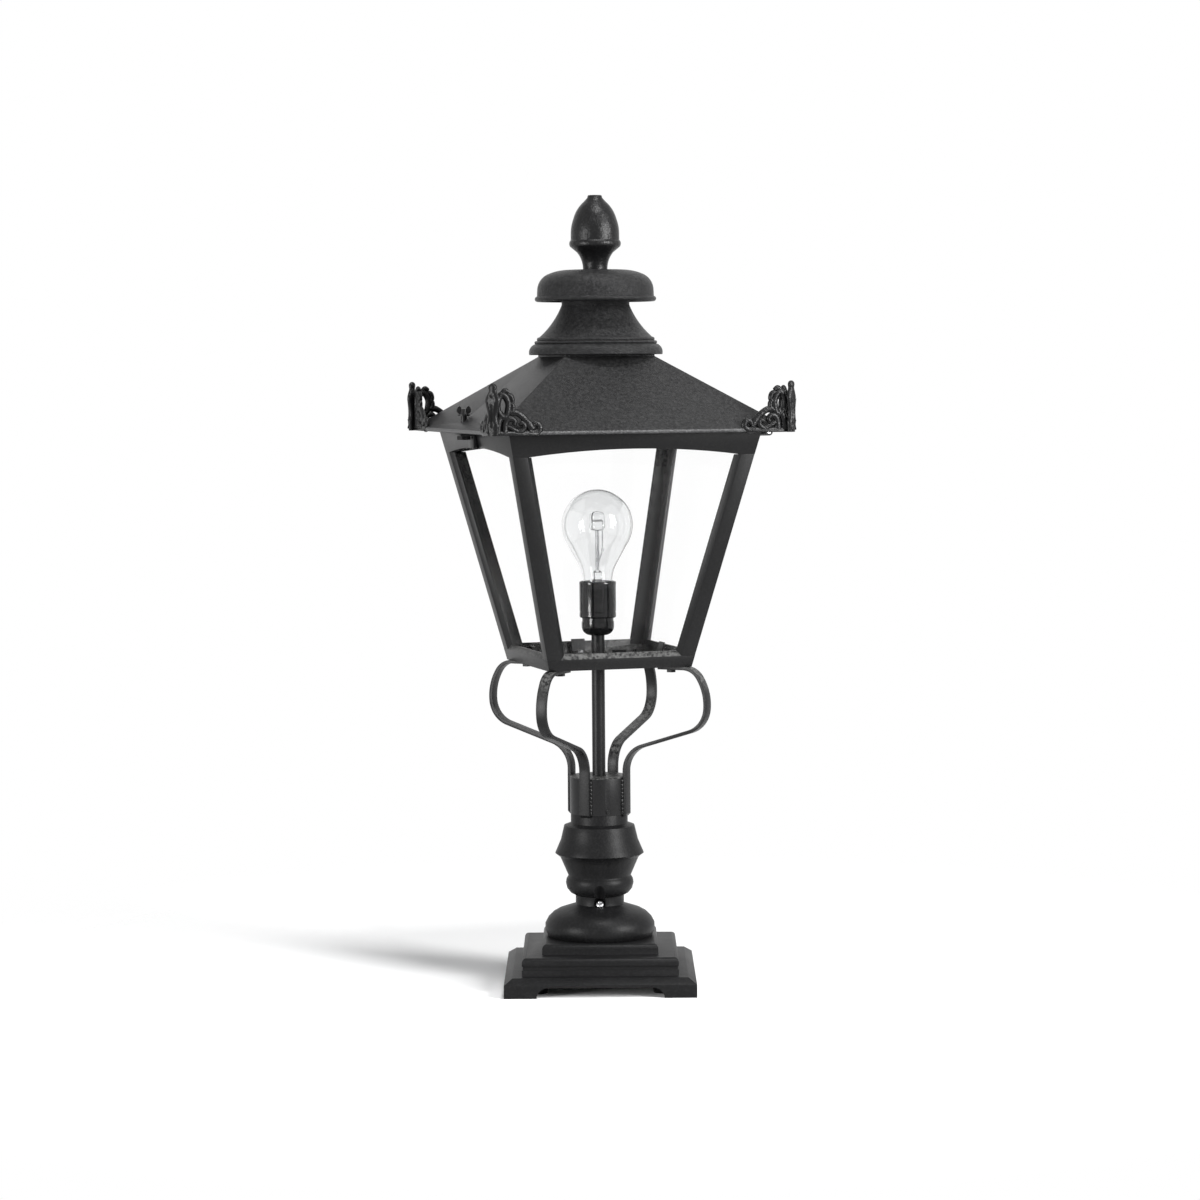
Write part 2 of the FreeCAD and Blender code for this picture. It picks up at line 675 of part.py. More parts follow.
def bottom_frame():
    """Welded square frame: sloping rail with a glazing bevel, and a flange below."""
    rail = cage_block(0, CAGE_FOOT_Z, CAGE_FOOT_RAIL_Z)
    bevel_top = CAGE_FOOT_RAIL_Z + BAR_BEVEL
    bevel = frustum(cage_half(CAGE_FOOT_RAIL_Z), CAGE_FOOT_RAIL_Z,
                    cage_half(bevel_top) - BAR_BEVEL_DEPTH, bevel_top)
    body = joined([rail, bevel])
    body = body.cut(cage_block(BAR_THICK, FLOOR_Z, bevel_top + 1))
    body = body.cut(square_block(CAGE_FOOT_HALF - FLANGE_WIDTH, CAGE_FOOT_Z - 1, bevel_top))
    for k in range(4):
        body = body.cut(turn(arm_screw_hole(), 45 + 90 * k))
        body = body.cut(turn(post_at_right_front(), 90 * k))
    for shank in clip_shanks():
        body = body.cut(shank)
    return body


def post_section(z, length):
    """Angle section of a post: two faces, each with a sloping glazing edge, as a prism."""
    face = BAR_FACE
    edge = BAR_FACE + BAR_BEVEL
    half = cage_half(z)
    pts = [(0, 0), (-face, 0), (-edge, BAR_BEVEL_DEPTH), (-edge, BAR_THICK), (-BAR_THICK, BAR_THICK),
           (-BAR_THICK, edge), (-BAR_BEVEL_DEPTH, edge), (0, face), (0, 0)]
    wire = Part.makePolygon([vec(half + x, -half + y, z) for x, y in pts])
    lean = CAGE_SLOPE * length
    return Part.Face(wire).extrude(vec(lean, -lean, length))


def post_at_right_front():
    z0 = CAGE_FOOT_RAIL_Z
    return post_section(z0, FRIEZE_FOOT_Z - z0)


def corner_post(k):
    """Post k stands at the corner between side k and the next one round."""
    return turn(post_at_right_front(), 90 * (k - 1))


def frieze_arch():
    """Cutter for the arched lower edge of one frieze."""
    span = cage_half(FRIEZE_FOOT_Z) - BAR_FACE
    crown = CAGE_TOP_Z - FRIEZE_MID
    face = outline((-span, FRIEZE_FOOT_Z - 1), (-span, FRIEZE_FOOT_Z), ((0, crown), (span, FRIEZE_FOOT_Z)),
                   (span, FRIEZE_FOOT_Z - 1))
    return plate(face, CAGE_TOP_HALF, -CAGE_TOP_HALF - 1)


def top_frame():
    """Ring of four friezes with arched lower edges and an inner flange at the top."""
    body = cage_block(0, FRIEZE_FOOT_Z, CAGE_TOP_Z)
    body = body.cut(cage_block(BAR_THICK, FRIEZE_FOOT_Z - 1, CAGE_TOP_Z - FLANGE_THICK))
    opening = CAGE_TOP_HALF - BAR_THICK - TOP_FLANGE_WIDTH
    body = body.cut(square_block(opening, FRIEZE_FOOT_Z - 1, CAGE_TOP_Z + 1))
    for k in range(4):
        body = body.cut(turn(frieze_arch(), 90 * k))
    for shank in clip_shanks():
        body = body.cut(shank)
    return body


def floor_plate():
    half = cage_half(FLOOR_Z) - BAR_THICK - SLIP
    body = square_block(half, FLOOR_Z, FLOOR_TOP_Z)
    body = body.cut(rod(TUBE_R, FLOOR_Z - 1, FLOOR_TOP_Z + 1))
    for k in range(4):
        body = body.cut(turn(arm_screw_hole(), 45 + 90 * k))
        body = body.cut(turn(rod(VENT_R, FLOOR_Z - 1, FLOOR_TOP_Z + 1, VENT_OUT, 0), 90 * k))
    for shank in clip_shanks():
        body = body.cut(shank)
    return body


def glass_pane(k):
    """Trapezoid of glass behind the posts' bevels."""
    half0 = cage_half(PANE_FOOT_Z) - BAR_THICK - PANE_MARGIN - PANE_THICK
    half1 = cage_half(PANE_TOP_Z) - BAR_THICK - PANE_MARGIN - PANE_THICK
    slab = cage_block(BAR_THICK, PANE_FOOT_Z, PANE_TOP_Z)
    slab = slab.cut(cage_block(BAR_THICK + PANE_THICK, PANE_FOOT_Z - 1, PANE_TOP_Z + 1))
    points = [vec(-half0, 0, PANE_FOOT_Z), vec(half0, 0, PANE_FOOT_Z), vec(half1, 0, PANE_TOP_Z),
              vec(-half1, 0, PANE_TOP_Z), vec(-half0, 0, PANE_FOOT_Z)]
    window = move(Part.Face(Part.makePolygon(points)).extrude(vec(0, 2 * CAGE_TOP_HALF, 0)),
                  y=-2 * CAGE_TOP_HALF)
    return turn(slab.common(window), 90 * k)


def clip_solid(pane_low, pane_high, tab_z, tab_in):
    """Bent strip on the near side: an upright lap on the pane and a level tab at one end."""
    upright = [(clip_line(pane_low), pane_low), (clip_line(pane_high), pane_high),
               (clip_line(pane_high) - CLIP_THICK, pane_high), (clip_line(pane_low) - CLIP_THICK, pane_low)]
    wire = Part.makePolygon([vec(-CLIP_WIDTH / 2, -y, z) for y, z in upright + upright[:1]])
    lap = Part.Face(wire).extrude(vec(CLIP_WIDTH, 0, 0))
    tab_out = clip_line(tab_z) - CLIP_THICK / 2
    tab = box(-CLIP_WIDTH / 2, -tab_out, tab_z, CLIP_WIDTH / 2, -tab_out + tab_in, tab_z + CLIP_THICK)
    return joined([lap, tab])


def clip_line(z):
    """Distance from the axis of a pane's inner face at height z."""
    return cage_half(z) - BAR_THICK - PANE_THICK


def clip_screw(tab_z, side):
    """Small hexagon-head screw through a tab; side is +1 where the head is above the tab."""
    if side > 0:
        y = clip_line(tab_z) - CLIP_TAB * 0.45
        head = hexagon(CLIP_SCREW_FLATS, tab_z + CLIP_THICK, tab_z + CLIP_THICK + CLIP_HEAD, 0, -y)
        shank = rod(CLIP_SCREW_R, FLOOR_Z - 2, tab_z + CLIP_THICK, 0, -y)
    else:
        y = clip_line(tab_z) - HEAD_CLIP_TAB * 0.6
        head = hexagon(CLIP_SCREW_FLATS, tab_z - CLIP_HEAD, tab_z, 0, -y)
        shank = rod(CLIP_SCREW_R, tab_z, CAGE_TOP_Z, 0, -y)
    return head, shank


def clip_shanks():
    """Clearance for the clip screws, all round."""
    shanks = []
    for k in range(4):
        for tab_z, side in ((FOOT_TAB_Z, 1), (HEAD_TAB_Z, -1)):
            shanks.append(turn(clip_screw(tab_z, side)[1], 90 * k))
    return shanks


def pane_clips():
    foot = clip_solid(FOOT_TAB_Z, FOOT_TAB_Z + CLIP_LAP, FOOT_TAB_Z, CLIP_TAB)
    top = clip_solid(PANE_TOP_Z - HEAD_CLIP_LAP, HEAD_TAB_Z + CLIP_THICK, HEAD_TAB_Z, HEAD_CLIP_TAB)
    clips = []
    for k in range(4):
        for clip, tab_z, side in ((foot, FOOT_TAB_Z, 1), (top, HEAD_TAB_Z, -1)):
            clips.append(turn(clip.cut(clip_screw(tab_z, side)[1]), 90 * k))
    return group(clips)


def pane_clip_screws():
    screws = []
    for k in range(4):
        for tab_z, side in ((FOOT_TAB_Z, 1), (HEAD_TAB_Z, -1)):
            screws.append(turn(joined(list(clip_screw(tab_z, side))), 90 * k))
    return group(screws)


# ---- tube, lampholder and bulb ----------------------------------------------------

def conduit_tube():
    return ring(TUBE_R, TUBE_R - TUBE_WALL, TUBE_FOOT_Z, HOLDER_DOME_Z)


def conduit_nuts():
    """Locknuts above and below the floor plate."""
    nuts = []
    for z in (FLOOR_Z - NUT_HEIGHT, FLOOR_TOP_Z):
        nuts.append(hexagon(NUT_FLATS, z, z + NUT_HEIGHT).cut(rod(TUBE_R, z - 1, z + NUT_HEIGHT + 1)))
    return group(nuts)


def holder_cap():
    wall = HOLDER_WALL
    knee = ((HOLDER_CAP_R - 1.8, HOLDER_FOOT_Z + 3.0), (HOLDER_CAP_R, HOLDER_DOME_Z + 0.6))
    return spun((TUBE_R, HOLDER_FOOT_Z), (TUBE_R + 1.6, HOLDER_FOOT_Z), knee,
                (HOLDER_CAP_R, HOLDER_CAP_TOP_Z), (HOLDER_CAP_R - wall, HOLDER_CAP_TOP_Z),
                (HOLDER_CAP_R - wall, HOLDER_DOME_Z + 1), (TUBE_R, HOLDER_DOME_Z))


def holder_shell():
    wall = HOLDER_WALL
    foot = HOLDER_CAP_TOP_Z
    rim = wall / 2
    return spun((HOLDER_CAP_R - 4, foot), (HOLDER_R - 1.2, foot),
                ((HOLDER_R - 0.3, foot + 0.5), (HOLDER_R, foot + 1.4)), (HOLDER_R, HOLDER_MOUTH_Z - rim),
                ((HOLDER_R - rim, HOLDER_MOUTH_Z), (HOLDER_R - wall, HOLDER_MOUTH_Z - rim)),
                (HOLDER_R - wall, foot + wall), (HOLDER_CAP_R - 4, foot + wall))


def holder_insert():
    """Moulded disc that carries the contacts."""
    foot = HOLDER_CAP_TOP_Z + HOLDER_WALL
    body = rod(HOLDER_R - HOLDER_WALL, foot, HOLDER_SEAT_Z)
    for side in (-1, 1):
        body = body.cut(rod(1.6, foot - 1, HOLDER_SEAT_Z + 1, side * 8.0, 0))
    return body


def holder_thread():
    inner = CAP_THREAD_R + RUN_CLEAR
    return ring(inner + THREAD_SHELL, inner, HOLDER_SEAT_Z, BULB_BASE_TOP_Z - 2.5)


def holder_contact():
    """Sprung centre contact: a bent tab just under the bulb."""
    top = BULB_BASE_FOOT_Z - SEAT_GAP
    leaf = outline((-7, HOLDER_SEAT_Z), (-2, HOLDER_SEAT_Z), (0, top - 0.5), (4, top - 0.5), (4, top),
                   (-0.4, top), (-2.4, HOLDER_SEAT_Z + 0.5), (-7, HOLDER_SEAT_Z + 0.5))
    return plate(leaf, 2 * CONTACT_HALF, -CONTACT_HALF)


def bulb_base():
    r = CAP_THREAD_R
    foot = BULB_BASE_FOOT_Z
    wall = BULB_BASE_WALL
    return spun((0, foot), (4.8, foot), (4.8, foot + 0.9), (9.0, foot + 1.4), (r, foot + 4.0),
                (r, BULB_BASE_TOP_Z), (r - wall, BULB_BASE_TOP_Z), (r - wall, foot + 4.6), (0, foot + 4.6))


def bulb_outline(inset):
    """Points of the envelope from neck to crown, taken in by inset."""
    r = BULB_R - inset
    low, high = math.radians(BULB_SHOULDER), math.radians(-BULB_SHOULDER)
    shoulder = (r * math.cos(low), BULB_WIDE_Z + r * math.sin(low))
    crown = (r * math.cos(high), BULB_WIDE_Z + r * math.sin(high))
    waist = (BULB_WAIST_R - inset, BULB_BASE_TOP_Z + BULB_WAIST_SHARE * BULB_NECK_RUN)
    return ((BULB_NECK_R - inset, STEM_FOOT_Z + STEM_FLARE), (BULB_NECK_R - inset, BULB_BASE_TOP_Z),
            waist, shoulder, crown, (0, BULB_WIDE_Z + r))


def bulb_glass():
    """Blown envelope: the outer form less the inner one, open at the neck."""
    forms = []
    for inset in (0, GLASS_WALL):
        neck, waist, flank, shoulder, crown, top = bulb_outline(inset)
        forms.append(spun((0, neck[1]), neck, waist, (flank, shoulder), (crown, top)))
    return forms[0].cut(forms[1])


def bulb_stem():
    """Flared glass stem, sealed to the neck of the envelope and drawn in at the top."""
    foot = STEM_FOOT_Z
    return spun((0, foot), (BULB_NECK_R, foot), (BULB_NECK_R, foot + STEM_FLARE),
                (BULB_NECK_R - GLASS_WALL, foot + STEM_FLARE), (STEM_R * 1.9, foot + 3.0),
                (STEM_R, foot + 8.0), (STEM_R, STEM_TOP_Z - STEM_R / 2), (STEM_R / 2, STEM_TOP_Z),
                (0, STEM_TOP_Z))


def bulb_capsule():
    """Small inner capsule with a domed top and a drawn-in foot."""
    foot = CAPSULE_FOOT_Z
    top = foot + CAPSULE_LENGTH
    r = CAPSULE_R
    return spun((0, foot), (r - 2.0, foot), (r, foot + 2.0), (r, top - 3.5), (r - 3.0, top), (0, top))


def bulb_wires():
    """Centre lead from stem to capsule, and the bent side lead with its weld bead."""
    w = WIRE_R
    out = SIDE_LEAD_OUT
    knee = STEM_TOP_Z + 17.0
    lead = rod(LEAD_R, STEM_TOP_Z, CAPSULE_FOOT_Z)
    side = outline((0, STEM_TOP_Z + 4.5), (0, STEM_TOP_Z + 2.5), (out + w, knee), (out + w, CAPSULE_FOOT_Z),
                   (out - w, CAPSULE_FOOT_Z), (out - w, knee))
    bead = rod(WELD_R, knee - WELD_R, knee + WELD_R, out)
    return joined([lead, plate(side, 2 * w, -w), bead])


# ---- roof -------------------------------------------------------------------------

def roof_hollow():
    """Room under the sheet: a low upright part behind the lip and the hipped part over it."""
    drop = ROOF_SHEET * math.sqrt(1 + ROOF_SLOPE ** 2)
    half = EAVE_HALF - ROOF_SHEET
    shoulder = roof_z(half) - drop
    low = square_block(half, EAVE_Z + ROOF_SHEET, shoulder)
    return joined([low, frustum(half, shoulder, ROOF_TOP_HALF, ROOF_TOP_Z - drop)])


def roof_shell():
    """Sheet roof with an upright lip, a soffit ring that sits on the cage, and a flat crown."""
    lip = square_block(EAVE_HALF, EAVE_Z, EAVE_Z + EAVE_LIP)
    slope = frustum(EAVE_HALF, EAVE_Z + EAVE_LIP, ROOF_TOP_HALF, ROOF_TOP_Z)
    crown = square_block(ROOF_TOP_HALF, ROOF_TOP_Z, NECK_SEAT_Z)
    body = joined([lip, slope, crown]).cut(roof_hollow())
    body = body.cut(square_block(SOFFIT_HALF, EAVE_Z - 1, EAVE_Z + ROOF_SHEET + 1))
    body = body.cut(rod(THROAT_R, ROOF_TOP_Z - 10, NECK_SEAT_Z + 1))
    return body.cut(rod(WING_SHANK_R + RUN_CLEAR, EAVE_Z - 1, NECK_SEAT_Z, -LATCH_X, 0))


def chimney_neck():
    """Spun neck: foot ring, two small beads and a flare drawn in to the open mouth."""
    ring_r = NECK_RING_R
    seat = NECK_SEAT_Z
    t = NECK_SHEET
    return spun(
        (THROAT_R, seat), (ring_r - 1.0, seat), (ring_r, seat + 1.2),
        ((ring_r - 1.1, seat + 6.0), (ring_r - 4.8, seat + 9.0)), (ring_r - 5.3, seat + 9.2),
        ((ring_r - 4.6, seat + 10.5), (ring_r - 5.8, seat + 11.6)), (ring_r - 7.0, seat + 11.8),
        ((ring_r - 6.7, seat + 13.3), (FLARE_R, seat + FLARE_UP)), FLARE_BEND, (NECK_MOUTH_R, NECK_MOUTH_Z),
        (NECK_MOUTH_R - t, NECK_MOUTH_Z), (NECK_MOUTH_R - t, NECK_MOUTH_Z - 5.6),
        (FLARE_HOLLOW[0], (FLARE_R - 1.8, seat + FLARE_UP - 1.2)), (FLARE_R - 1.8, seat + t),
        (THROAT_R, seat + t))


def neck_inside():
    """Room inside the neck's upper part, to which the bridge is fitted."""
    foot = NECK_SEAT_Z + FLARE_UP - 1.2
    return spun((0, foot), (FLARE_R - 1.8, foot), FLARE_HOLLOW,
                (NECK_MOUTH_R - NECK_SHEET, NECK_MOUTH_Z), (0, NECK_MOUTH_Z))


def neck_bridge():
    half = BRIDGE_WIDTH / 2
    bar = box(-NECK_RING_R, -half, BRIDGE_Z, NECK_RING_R, half, BRIDGE_Z + BRIDGE_THICK)
    return bar.common(neck_inside()).cut(tie_rod())


def tie_rod():
    return rod(TIE_R, TIE_FOOT_Z, TIE_TOP_Z)


def tie_nut():
    return hexagon(TIE_NUT_FLATS, BRIDGE_Z - TIE_NUT, BRIDGE_Z).cut(tie_rod())


def spacer_tube():
    return ring(SPACER_R, TIE_R, BRIDGE_Z + BRIDGE_THICK, CAP_TOP_Z - CAP_SHEET)


def vent_cap():
    """Spun cap: crown, round shoulder, short wall and a rolled bead at the rim."""
    t = CAP_SHEET
    rim = CAP_RIM_Z
    wall = CAP_WALL_R
    return spun(
        (TIE_R, CAP_TOP_Z), (CAP_CROWN_R, CAP_TOP_Z), ((31.5, CAP_TOP_Z - 0.7), (39.0, CAP_TOP_Z - 3.0)),
        ((46.2, CAP_TOP_Z - 8.6), (wall, CAP_TOP_Z - 16.5)), (wall + 0.3, rim + 4.4),
        ((CAP_BEAD_R, rim + 2.4), (wall + 0.2, rim)), (wall - t, rim),
        (wall - t, CAP_TOP_Z - 16.5), ((44.9, CAP_TOP_Z - 9.6), (38.2, CAP_TOP_Z - t - 3.0)),
        ((31.0, CAP_TOP_Z - t - 0.8), (CAP_CROWN_R, CAP_TOP_Z - t)), (TIE_R, CAP_TOP_Z - t))


def finial():
    """Cast finial; heights and radii are shares of its own height and greatest radius."""
    base = CAP_TOP_Z

    def at(radius, height):
        return radius * FINIAL_R, base + height * FINIAL_HEIGHT

    body = spun(
        (0, base), at(0.476, 0), (at(0.527, 0.127), at(0.700, 0.236)), at(0.965, 0.312),
        (at(1.0, 0.350), at(0.980, 0.384)), at(0.942, 0.400), at(0.938, 0.500),
        (at(0.905, 0.600), at(0.830, 0.690)), (at(0.690, 0.804), at(0.430, 0.912)),
        at(0.290, 0.965), at(0.273, 1.0), (0, FINIAL_TOP_Z))
    return body.cut(rod(TIE_R, base - 1, TIE_TOP_Z))


# ---- corner ornaments -------------------------------------------------------------

def wing_outline():
    """One wing seen square on: s along the eave from the corner, h above the lip's top."""
    return banded(
        (1.0, 0.0), (38.0, 0.0), ((41.2, 4.6), (36.0, 10.2)), ((32.4, 9.4), (30.2, 6.6)),
        ((26.6, 12.6), (16.6, 17.6)), ((15.6, 25.4), (9.3, 32.8)), ((6.4, 32.6), (4.4, 30.6)), (1.0, 30.6))


def slot_cutter(face):
    return plate(face, 4 * ORNAMENT_PLATE, -2 * ORNAMENT_PLATE)


def wing_openings():
    """Faces of the openings: tall oval, low arch, volute eye and small drain hole."""
    oval = banded((8.2, 14.4), ((10.2, 20.2), (8.6, 26.2)), ((6.4, 20.4), (8.2, 14.4)))
    arch = banded((11.0, 5.0), (23.5, 4.6), ((21.6, 10.4), (15.2, 12.8)), ((11.8, 9.6), (11.0, 5.0)))
    eye = banded((34.8, 3.8), ((37.4, 5.2), (35.8, 7.4)), ((33.4, 6.4), (34.8, 3.8)))
    drain = banded((4.4, 7.2), ((5.5, 8.3), (4.4, 9.4)), ((3.3, 8.3), (4.4, 7.2)))
    loop = banded((28.2, 3.2), ((30.0, 4.4), (28.6, 6.0)), ((26.6, 5.0), (28.2, 3.2)))
    return oval, arch, eye, drain, loop


def rim_of(face, width):
    """Raised band that runs round an opening."""
    outer = face.OuterWire.makeOffset2D(width, 2)
    return Part.Face(outer).cut(face)


def wing():
    """A flat openwork wing with raised bands, lying in the XZ plane, its back at y = 0."""
    body = wing_outline().extrude(vec(0, -ORNAMENT_PLATE, 0)).fuse(rim_band())
    openings = wing_openings()
    for face in openings[:2]:
        band = rim_of(face, 1.5).extrude(vec(0, -ORNAMENT_PLATE - ORNAMENT_RIM, 0))
        body = body.fuse(band)
    for face in openings:
        body = body.cut(slot_cutter(face))
    return body.removeSplitter()


def rim_band():
    """Raised outer edge that runs up the wing's lower arch and on round its upper lobe."""
    band = banded((30.2, 6.6), ((26.6, 12.6), (16.6, 17.6)), ((15.6, 25.4), (9.3, 32.8)), (9.0, 31.0),
                   ((14.0, 24.6), (14.9, 16.6)), ((25.4, 11.4), (28.8, 5.6)))
    return band.extrude(vec(0, -ORNAMENT_PLATE - ORNAMENT_RIM, 0))


def leaf():
    """Pointed leaf that stands on the corner and faces out along the diagonal."""
    top = ORNAMENT_HEIGHT - EAVE_LIP
    face = banded((-2.6, 0.0), (2.6, 0.0), ((4.2, 9.0), (3.2, 18.0)), ((4.6, 26.0), (3.4, 31.0)),
                   ((1.6, 36.0), (0.0, top)), ((-1.6, 36.0), (-3.4, 31.0)), ((-4.6, 26.0), (-3.2, 18.0)),
                   ((-4.2, 9.0), (-2.6, 0.0)))
    return face.extrude(vec(0, -LEAF_THICK, 0))


def corner_ornament(k):
    """Two mirrored wings along the eaves, and the leaf between them."""
    foot = EAVE_Z + EAVE_LIP
    reach = EAVE_HALF + ORNAMENT_PROUD
    one = move(wing(), x=-reach, y=-reach + ORNAMENT_PLATE, z=foot)
    other = one.mirror(ORIGIN, vec(1, -1, 0))
    blade = turn(move(leaf(), y=-reach * math.sqrt(2) + LEAF_THICK - 2.6), -45)
    blade = move(blade, z=foot)
    body = joined([one, other, blade])
    tight = frustum(EAVE_HALF, foot, ROOF_TOP_HALF, ROOF_TOP_Z)
    return turn(body.cut(tight), 90 * k)


# ---- hinge and latch --------------------------------------------------------------

def hinge_feet():
    """Where each hinge's row of three knuckles starts along Y."""
    return [centre - 1.5 * KNUCKLE_LENGTH for centre in (-HINGE_OFFSET, HINGE_OFFSET)]


def along_y(radius, y0, length):
    return Part.makeCylinder(radius, length, vec(HINGE_X, y0, HINGE_Z), vec(0, 1, 0))


def hinge_frame_leaves():
    """Fixed leaf of each hinge: two knuckles on a plate that is bent down onto the frieze."""
    leaves = []
    z0 = HINGE_Z - KNUCKLE_R
    wall = cage_half(z0)
    length = 3 * KNUCKLE_LENGTH
    for y0 in hinge_feet():
        sheet = box(wall - 3, y0, z0, HINGE_X, y0 + length, z0 + HINGE_LEAF)
        skirt = box(wall - 3, y0, z0 - 9, wall + HINGE_LEAF, y0 + length, z0 + HINGE_LEAF)
        body = joined([sheet, skirt]).cut(cage_block(0, FRIEZE_FOOT_Z, CAGE_TOP_Z))
        notch = along_y(KNUCKLE_R + SLIP, y0 + KNUCKLE_LENGTH - SLIP / 2, KNUCKLE_LENGTH + SLIP)
        body = body.cut(notch)
        for start in (y0, y0 + 2 * KNUCKLE_LENGTH):
            body = body.fuse(along_y(KNUCKLE_R, start, KNUCKLE_LENGTH))
        leaves.append(body.cut(along_y(HINGE_PIN_R, y0 - 1, length + 2)).removeSplitter())
    return group(leaves)


def hinge_pins():
    return group([along_y(HINGE_PIN_R, y0, 3 * KNUCKLE_LENGTH) for y0 in hinge_feet()])


def hinge_roof_leaves():
    """Moving leaf: one knuckle, a tab up the lip and a strap that lies on the slope."""
    leaves = []
    edge_z = EAVE_Z + EAVE_LIP
    t = HINGE_LEAF
    lift = t * math.sqrt(1 + ROOF_SLOPE ** 2)
    strap = outline((EAVE_HALF, HINGE_Z), (EAVE_HALF, edge_z),
                    (EAVE_HALF - LEAF_RUN, edge_z + ROOF_SLOPE * LEAF_RUN),
                    (EAVE_HALF - LEAF_RUN, edge_z + ROOF_SLOPE * LEAF_RUN + lift),
                    (EAVE_HALF + t, edge_z - ROOF_SLOPE * t + lift), (EAVE_HALF + t, HINGE_Z))
    for foot in hinge_feet():
        y0 = foot + KNUCKLE_LENGTH + SLIP / 2
        length = KNUCKLE_LENGTH - SLIP
        body = plate(strap, length, y0).fuse(along_y(KNUCKLE_R, y0, length))
        body = body.cut(along_y(HINGE_PIN_R + RUN_CLEAR, y0 - 1, length + 2))
        leaves.append(body.removeSplitter())
    return group(leaves)


def latch_tab():
    """Angle tab on the frieze, under the eave, with the hole that takes the thumb screw."""
    top = EAVE_Z - SEAT_GAP - LATCH_DROP
    wall = cage_half(top)
    tip = LATCH_X + LATCH_TAB_WIDTH / 2 - 3
    half = LATCH_TAB_WIDTH / 2
    shelf = box(-tip, -half, top - LATCH_TAB_THICK, -wall + 3, half, top)
    skirt = box(-wall - LATCH_TAB_THICK, -half, top - 12, -wall + 3, half, top)
    body = joined([shelf, skirt]).cut(cage_block(0, FRIEZE_FOOT_Z, CAGE_TOP_Z))
    return body.cut(rod(WING_SHANK_R + LATCH_CLEAR, top - 5, top + 5, -LATCH_X, 0))


def latch_nut():
    top = EAVE_Z - SEAT_GAP - LATCH_DROP - LATCH_TAB_THICK
    nut = hexagon(LATCH_NUT_FLATS, top - LATCH_NUT, top, -LATCH_X, 0)
    nut = nut.cut(rod(WING_SHANK_R + LATCH_CLEAR, top - 9, top + 9, -LATCH_X, 0))
    wall = cage_half(top - LATCH_NUT / 2) + LATCH_TAB_THICK + SLIP
    return nut.cut(box(-wall, -9, top - 9, 0, 9, top + 1))


def wing_screw():
    """Thumb screw: shank, seat washer, hub and two rounded wings."""
    seat = roof_z(LATCH_X - 5.5) + SEAT_GAP
    foot = EAVE_Z - SEAT_GAP - LATCH_DROP - LATCH_TAB_THICK - LATCH_NUT + 0.5
    shank = rod(WING_SHANK_R, foot, seat + 2, -LATCH_X, 0)
    collar = rod(5.0, seat, seat + 1.6, -LATCH_X, 0)
    hub = Part.makeCone(3.9, 2.9, 4.4, vec(-LATCH_X, 0, seat + 1.6))
    wings = outline((0.0, 2.2), (3.4, 1.8), ((WING_SPAN, 3.6), (WING_SPAN - 0.4, WING_HEIGHT)),
                    ((WING_SPAN - 2.8, WING_HEIGHT + 1.0), (3.0, 5.4)), (0.0, 5.6))
    right = move(plate(wings, WING_THICK, -WING_THICK / 2), x=-LATCH_X, z=seat)
    left = right.mirror(vec(-LATCH_X, 0, 0), vec(1, 0, 0))
    return joined([shank, collar, hub, right, left])


# ---- the whole lantern --------------------------------------------------------------

def save(name, shape):
    shape.exportStep("parts/" + name + ".step")


def head_pieces():
    pieces = {
        "mounting_collar": mounting_collar(), "collar_set_screws": collar_set_screws(),
        "arm_screws": arm_screws(), "bottom_frame": bottom_frame(), "floor_plate": floor_plate(),
        "top_frame": top_frame(), "pane_clips": pane_clips(), "pane_clip_screws": pane_clip_screws(),
        "conduit_tube": conduit_tube(), "conduit_nuts": conduit_nuts(), "holder_cap": holder_cap(),
        "holder_shell": holder_shell(), "holder_insert": holder_insert(), "holder_thread": holder_thread(),
        "holder_contact": holder_contact(), "latch_tab": latch_tab(), "latch_nut": latch_nut(),
        "hinge_frame_leaves": hinge_frame_leaves(), "hinge_pins": hinge_pins(),
    }
    arm = scroll_arm()
    for k, side in enumerate(SIDES):
        pieces["scroll_arm_" + side] = turn(arm, -135 + 90 * k)
        pieces["corner_post_" + side] = corner_post(k)
        pieces["glass_pane_" + side] = glass_pane(k)
    return pieces


def roof_pieces():
    pieces = {
        "roof_shell": roof_shell(), "chimney_neck": chimney_neck(), "neck_bridge": neck_bridge(),
        "tie_rod": tie_rod(), "tie_nut": tie_nut(), "spacer_tube": spacer_tube(),
        "vent_cap": vent_cap(), "finial": finial(), "hinge_roof_leaves": hinge_roof_leaves(),
        "wing_screw": wing_screw(),
    }
    for k, side in enumerate(SIDES):
        pieces["corner_ornament_" + side] = corner_ornament(k)
    return pieces


def bulb_pieces():
    return {"bulb_glass": bulb_glass(), "bulb_base": bulb_base(), "bulb_stem": bulb_stem(),
            "bulb_capsule": bulb_capsule(), "bulb_wires": bulb_wires()}


def pedestal_pieces():
    return {"plinth_base": plinth_base(), "baluster": baluster(), "neck_screws": neck_screws(),
            "wire_grommet": wire_grommet(), "terminal_block": terminal_block(),
            "terminal_screws": terminal_screws()}


def main():
    os.makedirs("parts", exist_ok=True)
    for name, shape in pedestal_pieces().items():
        save(name, shape)
    for pieces in (head_pieces(), roof_pieces(), bulb_pieces()):
        for name, shape in pieces.items():
            save(name, head_piece(shape))


main()
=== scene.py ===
import json
import math
import random

import bmesh
import bpy
from mathutils import Matrix, Vector


